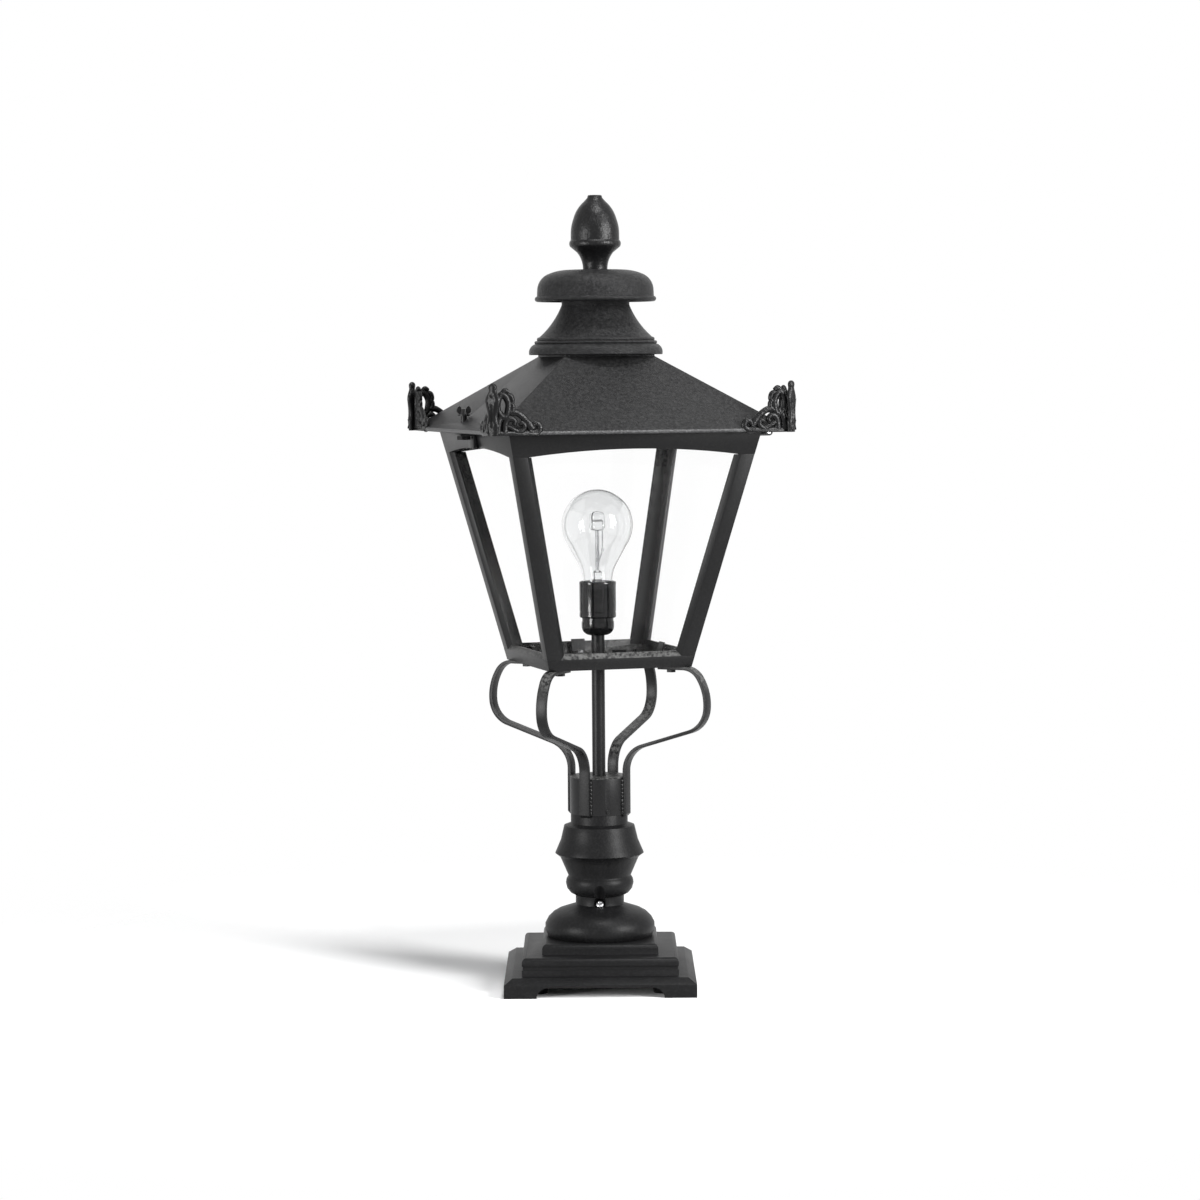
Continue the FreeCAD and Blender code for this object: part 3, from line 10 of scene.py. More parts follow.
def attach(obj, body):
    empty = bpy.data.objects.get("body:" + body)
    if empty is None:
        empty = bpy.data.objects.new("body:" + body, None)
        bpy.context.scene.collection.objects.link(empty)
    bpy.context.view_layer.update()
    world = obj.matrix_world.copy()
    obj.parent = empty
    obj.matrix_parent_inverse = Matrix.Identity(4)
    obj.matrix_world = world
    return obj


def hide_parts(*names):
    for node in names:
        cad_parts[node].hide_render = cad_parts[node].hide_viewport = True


# Looks of a post top lantern on a stepped pedestal. Shapes are drawn in millimetres and
# brought to metres when a piece is finished. The head's pieces are drawn square to the
# axes and turned by HEAD_YAW, as the real head is turned on its spigot.

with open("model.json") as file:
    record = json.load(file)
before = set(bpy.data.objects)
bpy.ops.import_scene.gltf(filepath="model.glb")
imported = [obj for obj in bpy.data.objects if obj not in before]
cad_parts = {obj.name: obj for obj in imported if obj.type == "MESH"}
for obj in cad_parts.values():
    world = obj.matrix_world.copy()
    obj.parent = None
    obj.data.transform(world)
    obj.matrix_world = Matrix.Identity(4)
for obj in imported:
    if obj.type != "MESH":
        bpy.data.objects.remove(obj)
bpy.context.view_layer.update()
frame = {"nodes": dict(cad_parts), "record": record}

MM = 0.001
HEAD_YAW = math.radians(17.7)
SIDES = ("front", "right", "back", "left")
SEED = 11
draw = random.Random(SEED)


# ---- finishes ---------------------------------------------------------------------

class Tone:
    """One shader value, which can be used in sums as a number is."""

    def __init__(self, finish, socket):
        self.finish = finish
        self.socket = socket

    def sum(self, operation, first, second):
        return self.finish.add("ShaderNodeMath", {"operation": operation}, {0: first, 1: second})

    def __add__(self, other):
        return self.sum("ADD", self, other)

    def __radd__(self, other):
        return self.sum("ADD", other, self)

    def __rsub__(self, other):
        return self.sum("SUBTRACT", other, self)

    def __mul__(self, other):
        return self.sum("MULTIPLY", self, other)

    def __rmul__(self, other):
        return self.sum("MULTIPLY", other, self)

    def above(self, low, high):
        """0 below low, 1 above high, and smooth between."""
        settings = {"interpolation_type": "SMOOTHSTEP"}
        return self.finish.add("ShaderNodeMapRange", settings, {0: self, 1: low, 2: high})


class Finish:
    """A material on one Principled shader, with its patterns read from Object coordinates."""

    def __init__(self, name):
        self.name = name
        self.material = bpy.data.materials.new(name)
        self.material.use_nodes = True
        self.tree = self.material.node_tree
        self.shader = self.tree.nodes["Principled BSDF"]
        self.place = self.add("ShaderNodeTexCoord", {}, {}, "Object")

    def add(self, kind, settings, inputs, output=0):
        """Adds a node: its settings first, then the values or links of its sockets."""
        node = self.tree.nodes.new(kind)
        for key, value in settings.items():
            setattr(node, key, value)
        for key, value in inputs.items():
            self.feed(node.inputs[key], value)
        return Tone(self, node.outputs[output])

    def feed(self, socket, value):
        if isinstance(value, Tone):
            self.tree.links.new(value.socket, socket)
        elif hasattr(socket.default_value, "__len__") and len(socket.default_value) == 4:
            socket.default_value = tuple(value) + (1.0,)
        else:
            socket.default_value = value

    def set(self, **sockets):
        """Constants and links on the shader's own sockets; Base_Color is Base Color."""
        for name, value in sockets.items():
            self.feed(self.shader.inputs[name.replace("_", " ")], value)
        return self

    def noise(self, scale, detail=2.0, roughness=0.5, stretch=None):
        place = self.place
        if stretch:
            place = self.add("ShaderNodeMapping", {}, {"Vector": place, "Scale": stretch})
        sockets = {"Vector": place, "Scale": scale, "Detail": detail, "Roughness": roughness}
        return self.add("ShaderNodeTexNoise", {}, sockets)

    def cells(self, scale):
        sockets = {"Vector": self.place, "Scale": scale}
        return self.add("ShaderNodeTexVoronoi", {}, sockets, "Distance")

    def facing_up(self):
        normal = self.add("ShaderNodeNewGeometry", {}, {}, "Normal")
        return self.add("ShaderNodeSeparateXYZ", {}, {0: normal}, "Z")

    def between(self, share, colour_a, colour_b):
        settings = {"data_type": "RGBA"}
        return self.add("ShaderNodeMix", settings, {0: share, 6: colour_a, 7: colour_b}, 2)

    def bump(self, height, depth):
        sockets = {"Height": height, "Distance": depth, "Strength": 1.0}
        self.set(Normal=self.add("ShaderNodeBump", {}, sockets))
        return self


# Colour of upward faces: settled dust, and painted light from above.
DUST_AND_TOP_LIGHT = (0.11, 0.11, 0.108)


def black_coat(name, dark, light, rough, grain, depth, specular=0.12, dust_and_top_light_share=0.09):
    """Baked black coating: a sandy skin, faint clouding, and upward faces lighter, partly settled dust
    and partly painted light from above.
    """
    f = Finish(name)
    sand = f.noise(grain, 4.0, 0.72)
    fine = f.noise(grain * 2.6, 3.0, 0.7)
    cloud = f.noise(34.0, 3.0, 0.55)
    # Upward faces turn lighter: settled dust, and painted light from above where the share is large.
    dust_and_top_light = f.facing_up().above(0.2, 0.6) * f.noise(330.0, 4.0, 0.7).above(0.38, 0.62) * dust_and_top_light_share
    speck = sand.above(0.44, 0.70) * 0.5 + fine.above(0.5, 0.7) * 0.3
    coat = f.between(speck + cloud * 0.25, dark, light)
    f.set(Base_Color=f.between(dust_and_top_light, coat, DUST_AND_TOP_LIGHT), Specular_IOR_Level=specular,
          Roughness=rough + fine * 0.10 + cloud * 0.08 + dust_and_top_light * 0.1)
    return f.bump(sand * 0.7 + fine * 0.4, depth)


def cast_coat(name, dark, light, rough, specular=0.12, depth=0.00032):
    """Paint over a sand casting: soft swells, pinholes, a fine skin, and upward faces a little lighter,
    partly dust and partly painted light from above.
    """
    f = Finish(name)
    swell = f.noise(95.0, 3.0, 0.5)
    skin = f.noise(620.0, 3.0, 0.6)
    pits = f.cells(260.0).above(0.0, 0.16)
    cloud = f.noise(24.0, 2.0)
    # Upward faces turn a little lighter: dust, and painted light from above.
    dust_and_top_light = f.facing_up().above(0.6, 1.0) * f.noise(120.0, 4.0, 0.6).above(0.4, 0.8)
    share = skin.above(0.42, 0.7) * 0.4 + cloud * 0.25 + dust_and_top_light * 0.3
    f.set(Base_Color=f.between(share, dark, light), Specular_IOR_Level=specular,
          Roughness=rough + skin * 0.1 + cloud * 0.1)
    return f.bump(swell * 0.8 + skin * 0.45 + pits * 0.12, depth)


def gloss_moulding(name, dark, light, rough, specular):
    """Moulded black plastic with a fine haze and rub marks along its height."""
    f = Finish(name)
    haze = f.noise(210.0, 3.0, 0.6)
    rub = f.noise(60.0, 2.0, 0.5, (1.0, 1.0, 6.0))
    f.set(Base_Color=f.between(haze * 0.6 + rub * 0.3, dark, light), Specular_IOR_Level=specular,
          Roughness=rough + haze * 0.05 + rub * 0.04)
    return f.bump(f.noise(420.0, 2.0), 0.00002)


def plated_steel(name, dark, light, rough):
    """Plain or plated metal with fine lines from turning or drawing."""
    f = Finish(name)
    lines = f.noise(900.0, 2.0, 0.5, (1.0, 1.0, 0.15))
    blotch = f.noise(300.0, 3.0, 0.6)
    f.set(Base_Color=f.between(blotch * 0.6 + lines * 0.4, dark, light), Metallic=1.0,
          Roughness=rough + lines * 0.1 + blotch * 0.1)
    return f.bump(lines, 0.00002)


def clear_glass(name, tint, cover=1.0):
    """Clear glass with a faint smear; a cover under 1 lets panes show more of what is behind."""
    f = Finish(name)
    smear = f.noise(18.0, 4.0, 0.6, (1.0, 1.0, 0.4))
    f.set(Base_Color=tint, Transmission_Weight=1.0, IOR=1.46, Roughness=smear.above(0.55, 0.8) * 0.04)
    if cover < 1.0:
        rim = f.add("ShaderNodeLayerWeight", {}, {"Blend": 0.25}, "Facing")
        f.set(Alpha=cover + rim.above(0.6, 1.0) * 0.12)
    return f


def glazed_clay(name, dark, light):
    """Glazed porcelain with small specks."""
    f = Finish(name)
    speck = f.noise(700.0, 2.0).above(0.62, 0.7)
    f.set(Base_Color=f.between(f.noise(50.0) * 0.5 + speck * 0.3, light, dark), Coat_Weight=0.4,
          Roughness=0.22 + speck * 0.1)
    return f.bump(f.noise(180.0, 3.0), 0.00004)


def soft_rubber(name, dark, light):
    """Matt rubber with a fine grain."""
    f = Finish(name)
    grain = f.noise(800.0, 3.0)
    f.set(Base_Color=f.between(grain, dark, light), Roughness=0.68 + grain * 0.15)
    return f.bump(grain, 0.00005)


FINISHES = {finish.name: finish for finish in (
    cast_coat("cast_black", (0.0030, 0.0030, 0.0032), (0.013, 0.013, 0.0135), 0.33),
    black_coat("sheet_black", (0.0030, 0.0030, 0.0032), (0.030, 0.030, 0.031), 0.30, 420.0, 0.0009),
    # On bars most of the lighter colour on upward faces is painted light from above, some of it dust.
    black_coat("bar_black", (0.0026, 0.0026, 0.0028), (0.011, 0.011, 0.0115), 0.30, 700.0, 0.00012,
               specular=0.2, dust_and_top_light_share=0.85),
    cast_coat("ornament_black", (0.0018, 0.0018, 0.0020), (0.009, 0.009, 0.0095), 0.22,
              specular=0.2, depth=0.0008),
    # Lighter coat for the eave's bead: a painted highlight along the lip, partly a coat rubbed thin.
    black_coat("worn_edge_and_painted_highlight", (0.012, 0.012, 0.0125), (0.12, 0.12, 0.122), 0.32, 520.0, 0.0005,
               specular=0.3),
    plated_steel("bright_steel", (0.42, 0.42, 0.43), (0.66, 0.66, 0.67), 0.24),
    clear_glass("pane_glass", (0.985, 0.993, 0.99), cover=0.012),
    gloss_moulding("holder_black", (0.0025, 0.0025, 0.0027), (0.006, 0.006, 0.0065), 0.10, 0.3),
    glazed_clay("porcelain", (0.55, 0.50, 0.42), (0.82, 0.79, 0.72)),
    plated_steel("brass", (0.50, 0.34, 0.13), (0.72, 0.54, 0.26), 0.26),
    plated_steel("base_metal", (0.55, 0.55, 0.56), (0.76, 0.76, 0.77), 0.2),
    clear_glass("bulb_clear", (0.935, 0.94, 0.942)),
    plated_steel("lead_wire", (0.30, 0.30, 0.31), (0.50, 0.50, 0.51), 0.3),
    soft_rubber("rubber_black", (0.012, 0.012, 0.012), (0.026, 0.026, 0.026)),
)}
SLOT_OF = {row["node"]: row["material_slot"] for row in frame["record"]["subparts"]}
for node_name, cad_object in frame["nodes"].items():
    cad_object.data.materials.clear()
    cad_object.data.materials.append(FINISHES[SLOT_OF[node_name]].material)


# ---- making pieces ----------------------------------------------------------------

WELD = 1e-5                # points of a piece closer than this become one


def finished(name, bm, body, slot, turned=True, replaces=(), sharp=32.0, scale=MM, look=None):
    """Makes the object of a piece: into metres, turned with the head, smooth but for its edges.

    A look is the name of another finish than the slot's own.
    """
    bmesh.ops.remove_doubles(bm, verts=bm.verts, dist=WELD / scale * MM)
    bmesh.ops.recalc_face_normals(bm, faces=bm.faces)
    bmesh.ops.scale(bm, vec=(scale, scale, scale), verts=bm.verts)
    if turned:
        turn = Matrix.Rotation(HEAD_YAW, 3, "Z")
        bmesh.ops.rotate(bm, cent=(0, 0, 0), matrix=turn, verts=bm.verts)
    for face in bm.faces:
        face.smooth = True
    for edge in bm.edges:
        if len(edge.link_faces) == 2 and edge.calc_face_angle(0.0) > math.radians(sharp):
            edge.smooth = False
    mesh = bpy.data.meshes.new(name)
    bm.to_mesh(mesh)
    bm.free()
    mesh.materials.append(FINISHES[look or slot].material)
    piece = bpy.data.objects.new(name, mesh)
    bpy.context.scene.collection.objects.link(piece)
    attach(piece, body)
    if replaces:
        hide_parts(*replaces)


BODIES = frame["record"]["behaviour"]["bodies"]
BODY_OF = {node: body for body, nodes in BODIES.items() for node in nodes}


HARD_EDGE = math.radians(33.0)


def softened(node, width, segments=2):
    """A copy of a node's form whose hard edges are rounded, as a coat of paint rounds them."""
    bm = bmesh.new()
    bm.from_mesh(frame["nodes"][node].data)
    bmesh.ops.remove_doubles(bm, verts=bm.verts, dist=2e-6)
    bmesh.ops.dissolve_limit(bm, angle_limit=math.radians(0.3), verts=bm.verts, edges=bm.edges,
                             delimit={"NORMAL"})
    hard = [e for e in bm.edges if len(e.link_faces) == 2 and e.calc_face_angle(0.0) > HARD_EDGE]
    bmesh.ops.bevel(bm, geom=hard, offset=width * MM, offset_type="OFFSET", segments=segments,
                    profile=0.5, affect="EDGES", clamp_overlap=True, material=-1)
    finished("soft_" + node, bm, BODY_OF[node], SLOT_OF[node], turned=False, replaces=(node,),
             sharp=40.0, scale=1.0)


def arc_between(start, middle, end, fineness):
    """Points of the arc from start through middle to end, without start itself."""
    (ax, ay), (bx, by), (cx, cy) = start, middle, end
    d = 2 * (ax * (by - cy) + bx * (cy - ay) + cx * (ay - by))
    ma, mb, mc = ax * ax + ay * ay, bx * bx + by * by, cx * cx + cy * cy
    x = (ma * (by - cy) + mb * (cy - ay) + mc * (ay - by)) / d
    y = (ma * (cx - bx) + mb * (ax - cx) + mc * (bx - ax)) / d
    first = math.atan2(ay - y, ax - x)
    through = (math.atan2(by - y, bx - x) - first) % math.tau
    sweep = (math.atan2(cy - y, cx - x) - first) % math.tau
    if through > sweep:
        sweep -= math.tau
    r = math.hypot(ax - x, ay - y)
    count = max(3, math.ceil(r * abs(sweep) / fineness), math.ceil(abs(sweep) / 0.3))
    angles = [first + sweep * k / count for k in range(1, count + 1)]
    return [(x + r * math.cos(angle), y + r * math.sin(angle)) for angle in angles]


def profile(start, steps, fineness):
    """Points of an outline. A step is a point, or (middle, end) of an arc."""
    points = [start]
    for step in steps:
        if isinstance(step[0], tuple):
            points += arc_between(points[-1], step[0], step[1], fineness)
        else:
            points.append(step)
    return points


def lathe(bm, start, *steps, fineness=1.6, segments=96):
    """Turns an outline, as radius and height, about the vertical axis."""
    points = profile(start, steps, fineness)
    verts = [bm.verts.new((r, 0.0, z)) for r, z in points]
    edges = [bm.edges.new(pair) for pair in zip(verts, verts[1:])]
    if start[0] > 0:
        edges.append(bm.edges.new((verts[-1], verts[0])))
    bmesh.ops.spin(bm, geom=verts + edges, cent=(0, 0, 0), axis=(0, 0, 1), angle=math.tau,
                   steps=segments, use_merge=True, use_duplicate=False)


def smooth_path(points, per_span=6, closed=False):
    """A smooth curve through the points, each with its width as third value."""
    count = len(points)
    spans = count if closed else count - 1
    path = []
    for k in range(spans):
        if closed:
            p = [Vector(points[(k + j) % count]) for j in (-1, 0, 1, 2)]
        else:
            p = [Vector(points[min(max(k + j, 0), count - 1)]) for j in (-1, 0, 1, 2)]
        for step in range(per_span):
            t = step / per_span
            square = 2 * p[0] - 5 * p[1] + 4 * p[2] - p[3]
            cube = 3 * p[1] - p[0] - 3 * p[2] + p[3]
            path.append(0.5 * (2 * p[1] + (p[2] - p[0]) * t + square * t * t + cube * t ** 3))
    return path if closed else path + [Vector(points[-1])]


def bridge(bm, rings, closed=False):
    """Skins the space between each ring of edges and the next."""
    pairs = list(zip(rings, rings[1:])) + ([(rings[-1], rings[0])] if closed else [])
    for one, two in pairs:
        bmesh.ops.bridge_loops(bm, edges=one + two)


def ring_at(bm, matrix, sides, capped=False):
    """Edges of a unit circle that the matrix sizes and places."""
    circle = bmesh.ops.create_circle(bm, cap_ends=capped, segments=sides, radius=1.0, matrix=matrix)
    return list({edge for vert in circle["verts"] for edge in vert.link_edges})


def scroll(bm, points, thick, level, closed=False, sides=10, girth=1.2):
    """A rounded bar in the XZ plane at y = level; points are (x, z, half width)."""
    path = smooth_path([(x, z, half * girth) for x, z, half in points], closed=closed)
    rings = []
    for k, here in enumerate(path):
        before = path[k - 1] if k or closed else here
        after = path[(k + 1) % len(path)] if k + 1 < len(path) or closed else here
        way = Vector((after.x - before.x, 0.0, after.y - before.y)).normalized()
        across = Vector((-way.z, 0.0, way.x)) * here.z
        depth = Vector((0.0, thick / 2, 0.0))
        matrix = Matrix((across, depth, way)).transposed().to_4x4()
        matrix.translation = (here.x, level, here.y)
        rings.append(ring_at(bm, matrix, sides, capped=not closed and k in (0, len(path) - 1)))
    bridge(bm, rings, closed)


# ---- stage, light and camera --------------------------------------------------------

def camera_like_the_photograph():
    """Camera 2.8 m from the lantern's axis, looking slightly down, with a slight roll."""
    pitch, roll = 0.0721, -0.0074
    focal, centre, width = 3327.6, 597.65, 1200.0
    right, ahead = Vector((1, 0, 0)), Vector((0, math.cos(pitch), -math.sin(pitch)))
    up = Vector((0, math.sin(pitch), math.cos(pitch)))
    x_axis = right * math.cos(roll) + up * math.sin(roll)
    y_axis = up * math.cos(roll) - right * math.sin(roll)
    data = bpy.data.cameras.new("camera")
    data.sensor_width = 36.0
    data.lens = focal * data.sensor_width / width
    data.shift_x = (width / 2 - centre) / width
    data.clip_end = 100.0
    camera = bpy.data.objects.new("camera", data)
    turn = Matrix((x_axis, y_axis, -ahead)).transposed().to_4x4()
    camera.matrix_world = Matrix.Translation((0.0, -2.8, 0.5268)) @ turn
    bpy.context.scene.collection.objects.link(camera)
    bpy.context.scene.camera = camera


def softbox(name, place, aim, size, power):
    """White rectangular lamp at place, turned towards aim; sizes in metres, power in watts."""
    data = bpy.data.lights.new(name, "AREA")
    data.shape = "RECTANGLE"
    data.size, data.size_y = size
    data.energy = power
    data.color = (1.0, 1.0, 1.0)
    lamp = bpy.data.objects.new(name, data)
    way = Vector(aim) - Vector(place)
    lamp.matrix_world = Matrix.Translation(place) @ way.to_track_quat("-Z", "Y").to_matrix().to_4x4()
    bpy.context.scene.collection.objects.link(lamp)


def studio():
    """White surroundings, weaker for diffuse light; a pale floor that fades out; three lamps."""
    world = bpy.data.worlds.new("studio")
    bpy.context.scene.world = world
    world.use_nodes = True
    nodes, links = world.node_tree.nodes, world.node_tree.links
    nodes.clear()
    path = nodes.new("ShaderNodeLightPath")
    seen = nodes.new("ShaderNodeMath")
    seen.operation = "MAXIMUM"
    clear = nodes.new("ShaderNodeMath")
    clear.operation = "MAXIMUM"
    links.new(path.outputs["Is Glossy Ray"], clear.inputs[0])
    links.new(path.outputs["Is Transmission Ray"], clear.inputs[1])
    links.new(path.outputs["Is Camera Ray"], seen.inputs[0])
    links.new(clear.outputs[0], seen.inputs[1])
    pale = nodes.new("ShaderNodeBackground")
    pale.inputs["Color"].default_value = (1, 1, 1, 1)
    glow = nodes.new("ShaderNodeBackground")
    glow.inputs["Color"].default_value = (0.98, 0.99, 1, 1)
    glow.inputs["Strength"].default_value = 0.34
    mix = nodes.new("ShaderNodeMixShader")
    out = nodes.new("ShaderNodeOutputWorld")
    links.new(seen.outputs[0], mix.inputs[0])
    links.new(glow.outputs[0], mix.inputs[1])
    links.new(pale.outputs[0], mix.inputs[2])
    links.new(mix.outputs[0], out.inputs[0])

    bm = bmesh.new()
    bmesh.ops.create_circle(bm, cap_ends=True, segments=96, radius=3.0)
    mesh = bpy.data.meshes.new("floor")
    bm.to_mesh(mesh)
    bm.free()
    pale_floor = Finish("pale_floor")
    fleck = pale_floor.noise(6.0, 3.0)
    length = {"operation": "LENGTH"}
    reach = pale_floor.add("ShaderNodeVectorMath", length, {0: pale_floor.place}, "Value")
    shade = pale_floor.between(fleck, (0.94, 0.94, 0.94), (0.96, 0.96, 0.96))
    pale_floor.set(Base_Color=shade, Roughness=0.9, Specular_IOR_Level=0.05,
                   Alpha=1.0 - reach.above(0.16, 0.75))
    mesh.materials.append(pale_floor.material)
    floor = bpy.data.objects.new("floor", mesh)
    bpy.context.scene.collection.objects.link(floor)

    aim = (0, 0, 0.36)
    softbox("left_box", (-2.0, -1.5, 0.45), aim, (0.6, 1.0), 55.0)
    softbox("right_box", (1.7, -1.2, 1.0), aim, (0.6, 1.2), 85.0)
    softbox("top_box", (0.35, -0.7, 2.3), aim, (0.6, 0.6), 32.0)


bpy.context.scene.view_settings.view_transform = "Standard"
camera_like_the_photograph()
studio()

EAVE_HALF = 124.9          # half width over the roof's lip
EAVE_TOP = 470.5           # top of the roof's lip, where the ornaments stand


# ---- roof, cap and finial -------------------------------------------------------------

def vent_cap():
    """Spun cap: crown, round shoulder, short wall and a rolled bead at the rim."""
    rim, top, wall, sheet, crown = 575.4, 601.7, 48.8, 1.6, 20.0
    bm = bmesh.new()
    lathe(bm, (3.0, top), (crown, top), ((31.5, top - 0.7), (39.0, top - 3.0)),
          ((46.2, top - 8.6), (wall, top - 16.5)), (wall + 0.3, rim + 4.4),
          ((50.9, rim + 2.4), (wall + 0.2, rim)), (wall - sheet, rim), (wall - sheet, top - 16.5),
          ((44.9, top - 9.6), (38.2, top - sheet - 3.0)),
          ((31.0, top - sheet - 0.8), (crown, top - sheet)), (3.0, top - sheet))
    finished("spun_cap", bm, "roof", "sheet_black", replaces=("vent_cap",))


def chimney_neck():
    """Spun neck: foot ring, two small beads and a flare drawn in to the open mouth."""
    seat, ring, throat, flare = 531.0, 56.1, 30.0, 47.4
    mouth, mouth_z, sheet = 28.4, 578.0, 1.6
    bm = bmesh.new()
    lathe(bm, (throat, seat), (ring - 1.0, seat), ((ring - 0.2, seat + 0.3), (ring, seat + 1.2)),
          ((ring - 1.1, seat + 6.0), (ring - 4.8, seat + 9.0)), (ring - 5.3, seat + 9.2),
          ((ring - 4.6, seat + 10.5), (ring - 5.8, seat + 11.6)), (ring - 7.0, seat + 11.8),
          ((ring - 6.7, seat + 13.3), (flare, seat + 14.7)),
          ((37.4, seat + 25.5), (mouth, mouth_z - 5.5)), (mouth, mouth_z), (mouth - sheet, mouth_z),
          (mouth - sheet, mouth_z - 5.6), ((35.8, seat + 24.7), (flare - 1.8, seat + 13.5)),
          (flare - 1.8, seat + sheet), (throat, seat + sheet))
    finished("spun_neck", bm, "roof", "sheet_black", replaces=("chimney_neck",))


def eave_bead():
    """Rolled edge of the roof's lip; its lighter coat is a painted highlight along the eave, with the
    coat partly rubbed thin there.
    """
    r, reach = 1.7, (EAVE_HALF - 0.9) * math.sqrt(2)
    bm = bmesh.new()
    rings = []
    for k in range(4):
        way = Matrix.Rotation(math.radians(45 + 90 * k), 3, "Z") @ Vector((1, 0, 0))
        along = way.cross(Vector((0, 0, 1)))
        matrix = Matrix((way * r * math.sqrt(2), Vector((0, 0, r)), along)).transposed().to_4x4()
        matrix.translation = way * reach + Vector((0, 0, EAVE_TOP - r))
        rings.append(ring_at(bm, matrix, 12))
    bridge(bm, rings, closed=True)
    # The bead's lighter look is a painted highlight along the eave.
    finished("eave_bead", bm, "roof", "sheet_black", look="worn_edge_and_painted_highlight")


def finial():
    """Cast finial; radii and heights are shares of its girth and its height."""
    foot, tall, girth = 601.7, 62.3, 21.65

    def at(radius, height):
        return radius * girth, foot + height * tall

    bm = bmesh.new()
    lathe(bm, (0.0, foot), at(0.476, 0), (at(0.527, 0.127), at(0.700, 0.236)), at(0.965, 0.312),
          (at(1.0, 0.350), at(0.980, 0.384)), at(0.942, 0.400), at(0.938, 0.500),
          (at(0.905, 0.600), at(0.830, 0.690)), (at(0.690, 0.804), at(0.430, 0.912)),
          at(0.290, 0.965), at(0.273, 0.992), at(0.245, 1.0), at(0.16, 1.0), at(0.14, 0.985),
          at(0.0, 0.985), fineness=1.2)
    finished("cast_finial", bm, "roof", SLOT_OF["finial"], replaces=("finial",))


# ---- corner ornaments -------------------------------------------------------------------

ORNAMENT_REACH = 126.1     # distance of a wing's outer face from the axis
WING_THICK = 4.2
WING_BARS = (              # (along the eave, height, half width) of each cast bar of a wing
    ((15.6, 17.4, 2.6), (20.4, 16.6, 2.1), (25.6, 13.2, 2.2), (29.8, 8.6, 2.6), (33.0, 4.6, 2.8)),
    ((30.4, 3.0, 2.4), (34.0, 1.9, 2.3), (37.8, 2.6, 2.3), (39.4, 5.4, 2.2), (37.8, 8.4, 2.1),
     (34.8, 8.6, 1.9), (33.2, 6.4, 1.5)),
    ((10.2, 2.6, 2.6), (10.2, 7.2, 2.4), (12.0, 11.4, 2.2), (15.6, 12.6, 2.0), (18.6, 10.4, 1.7),
     (17.6, 7.8, 1.5)),
    ((12.2, 7.2, 1.4), (16.4, 5.2, 1.6), (20.8, 2.8, 2.0)),
    ((21.4, 2.4, 2.0), (25.0, 4.0, 2.0), (26.6, 7.2, 1.9), (24.4, 9.4, 1.6), (22.4, 8.0, 1.3)),
    ((3.4, 1.2, 3.2), (4.2, 7.0, 2.7), (6.0, 12.6, 2.5), (9.6, 15.6, 2.6)),
    ((12.2, 30.2, 1.4), (15.4, 28.6, 1.9), (16.6, 24.8, 1.6), (14.4, 22.8, 1.0)),
    ((14.2, 24.0, 1.0), (16.8, 22.2, 1.6), (16.6, 18.6, 1.7), (13.8, 16.6, 1.6)),
    ((7.6, 31.2, 1.4), (10.4, 33.0, 1.8), (13.4, 31.6, 1.3)),
)
WING_OVAL = ((8.8, 13.6, 2.2), (5.4, 17.2, 1.9), (4.6, 23.4, 1.9), (6.8, 29.6, 2.2), (10.6, 28.8, 2.4),
             (13.2, 23.8, 2.4), (12.8, 18.0, 2.4), (11.4, 14.6, 2.3))
LEAF_RINGS = (             # (height, half width, half depth) up the corner leaf
    (0.0, 4.2, 2.2), (3.6, 4.6, 2.4), (7.6, 5.2, 2.6), (10.8, 4.0, 2.4), (15.3, 3.9, 2.2),
    (20.2, 5.0, 2.3), (25.6, 6.2, 2.4), (29.2, 5.0, 2.2), (31.9, 3.4, 2.0), (33.3, 2.9, 1.9),
    (35.3, 3.4, 2.1), (37.2, 2.7, 1.9), (38.4, 1.0, 0.8))
LEAF_VEINS = (             # (across, height, half width) of the raised lines on the leaf
    ((-2.9, 8.2, 0.6), (-1.9, 12.6, 0.7), (-2.1, 18.0, 0.7), (-3.6, 24.8, 0.6)),
    ((2.9, 8.2, 0.6), (1.9, 12.6, 0.7), (2.1, 18.0, 0.7), (3.6, 24.8, 0.6)),
    ((-3.8, 1.8, 0.6), (-2.2, 5.4, 0.7), (-3.4, 8.8, 0.6)),
    ((3.8, 1.8, 0.6), (2.2, 5.4, 0.7), (3.4, 8.8, 0.6)),
)
LEAF_FULLER = (1.12, 1.2)  # shares by which paint and wear fill the leaf out, across and deep
ORNAMENT_STRETCH = 1.09    # the ornaments reach down over the lip
ORNAMENT_FOOT = EAVE_TOP - 3.6


def wing(bm):
    """One openwork wing, drawn along +X from the corner with its face towards -Y."""
    for bar in WING_BARS:
        scroll(bm, bar, WING_THICK, WING_THICK / 2)
    scroll(bm, WING_OVAL, WING_THICK + 0.4, WING_THICK / 2, closed=True)
    foot = Matrix.Translation((19.5, WING_THICK / 2, 1.1)) @ Matrix.Diagonal((37.0, WING_THICK, 2.2, 1.0))
    block = bmesh.ops.create_cube(bm, size=1.0, matrix=foot)["verts"]
    rims = list({edge for vert in block for edge in vert.link_edges})
    bmesh.ops.bevel(bm, geom=rims, offset=0.5, segments=2, profile=0.5, affect="EDGES", material=-1)


def leaf(bm):
    """Corner leaf with a grooved face, standing at x = 0 with its face towards -Y."""
    wide, deep = LEAF_FULLER
    rings = []
    for height, half, depth in smooth_path(LEAF_RINGS, per_span=3):
        form = Matrix.Diagonal((half * wide, depth * deep, 1.0, 1.0))
        rings.append(ring_at(bm, Matrix.Translation((0, 0, height)) @ form, 20, capped=height == 0.0))
    bridge(bm, rings)
    bmesh.ops.edgeloop_fill(bm, edges=rings[-1])
    for vert in bm.verts:
        if vert.co.y < 0 and abs(vert.co.x) < 0.3 and 4.0 < vert.co.z < 31.0:
            vert.co.y += 1.1
    for vein in LEAF_VEINS:
        scroll(bm, vein, 1.6, -2.2, sides=6)


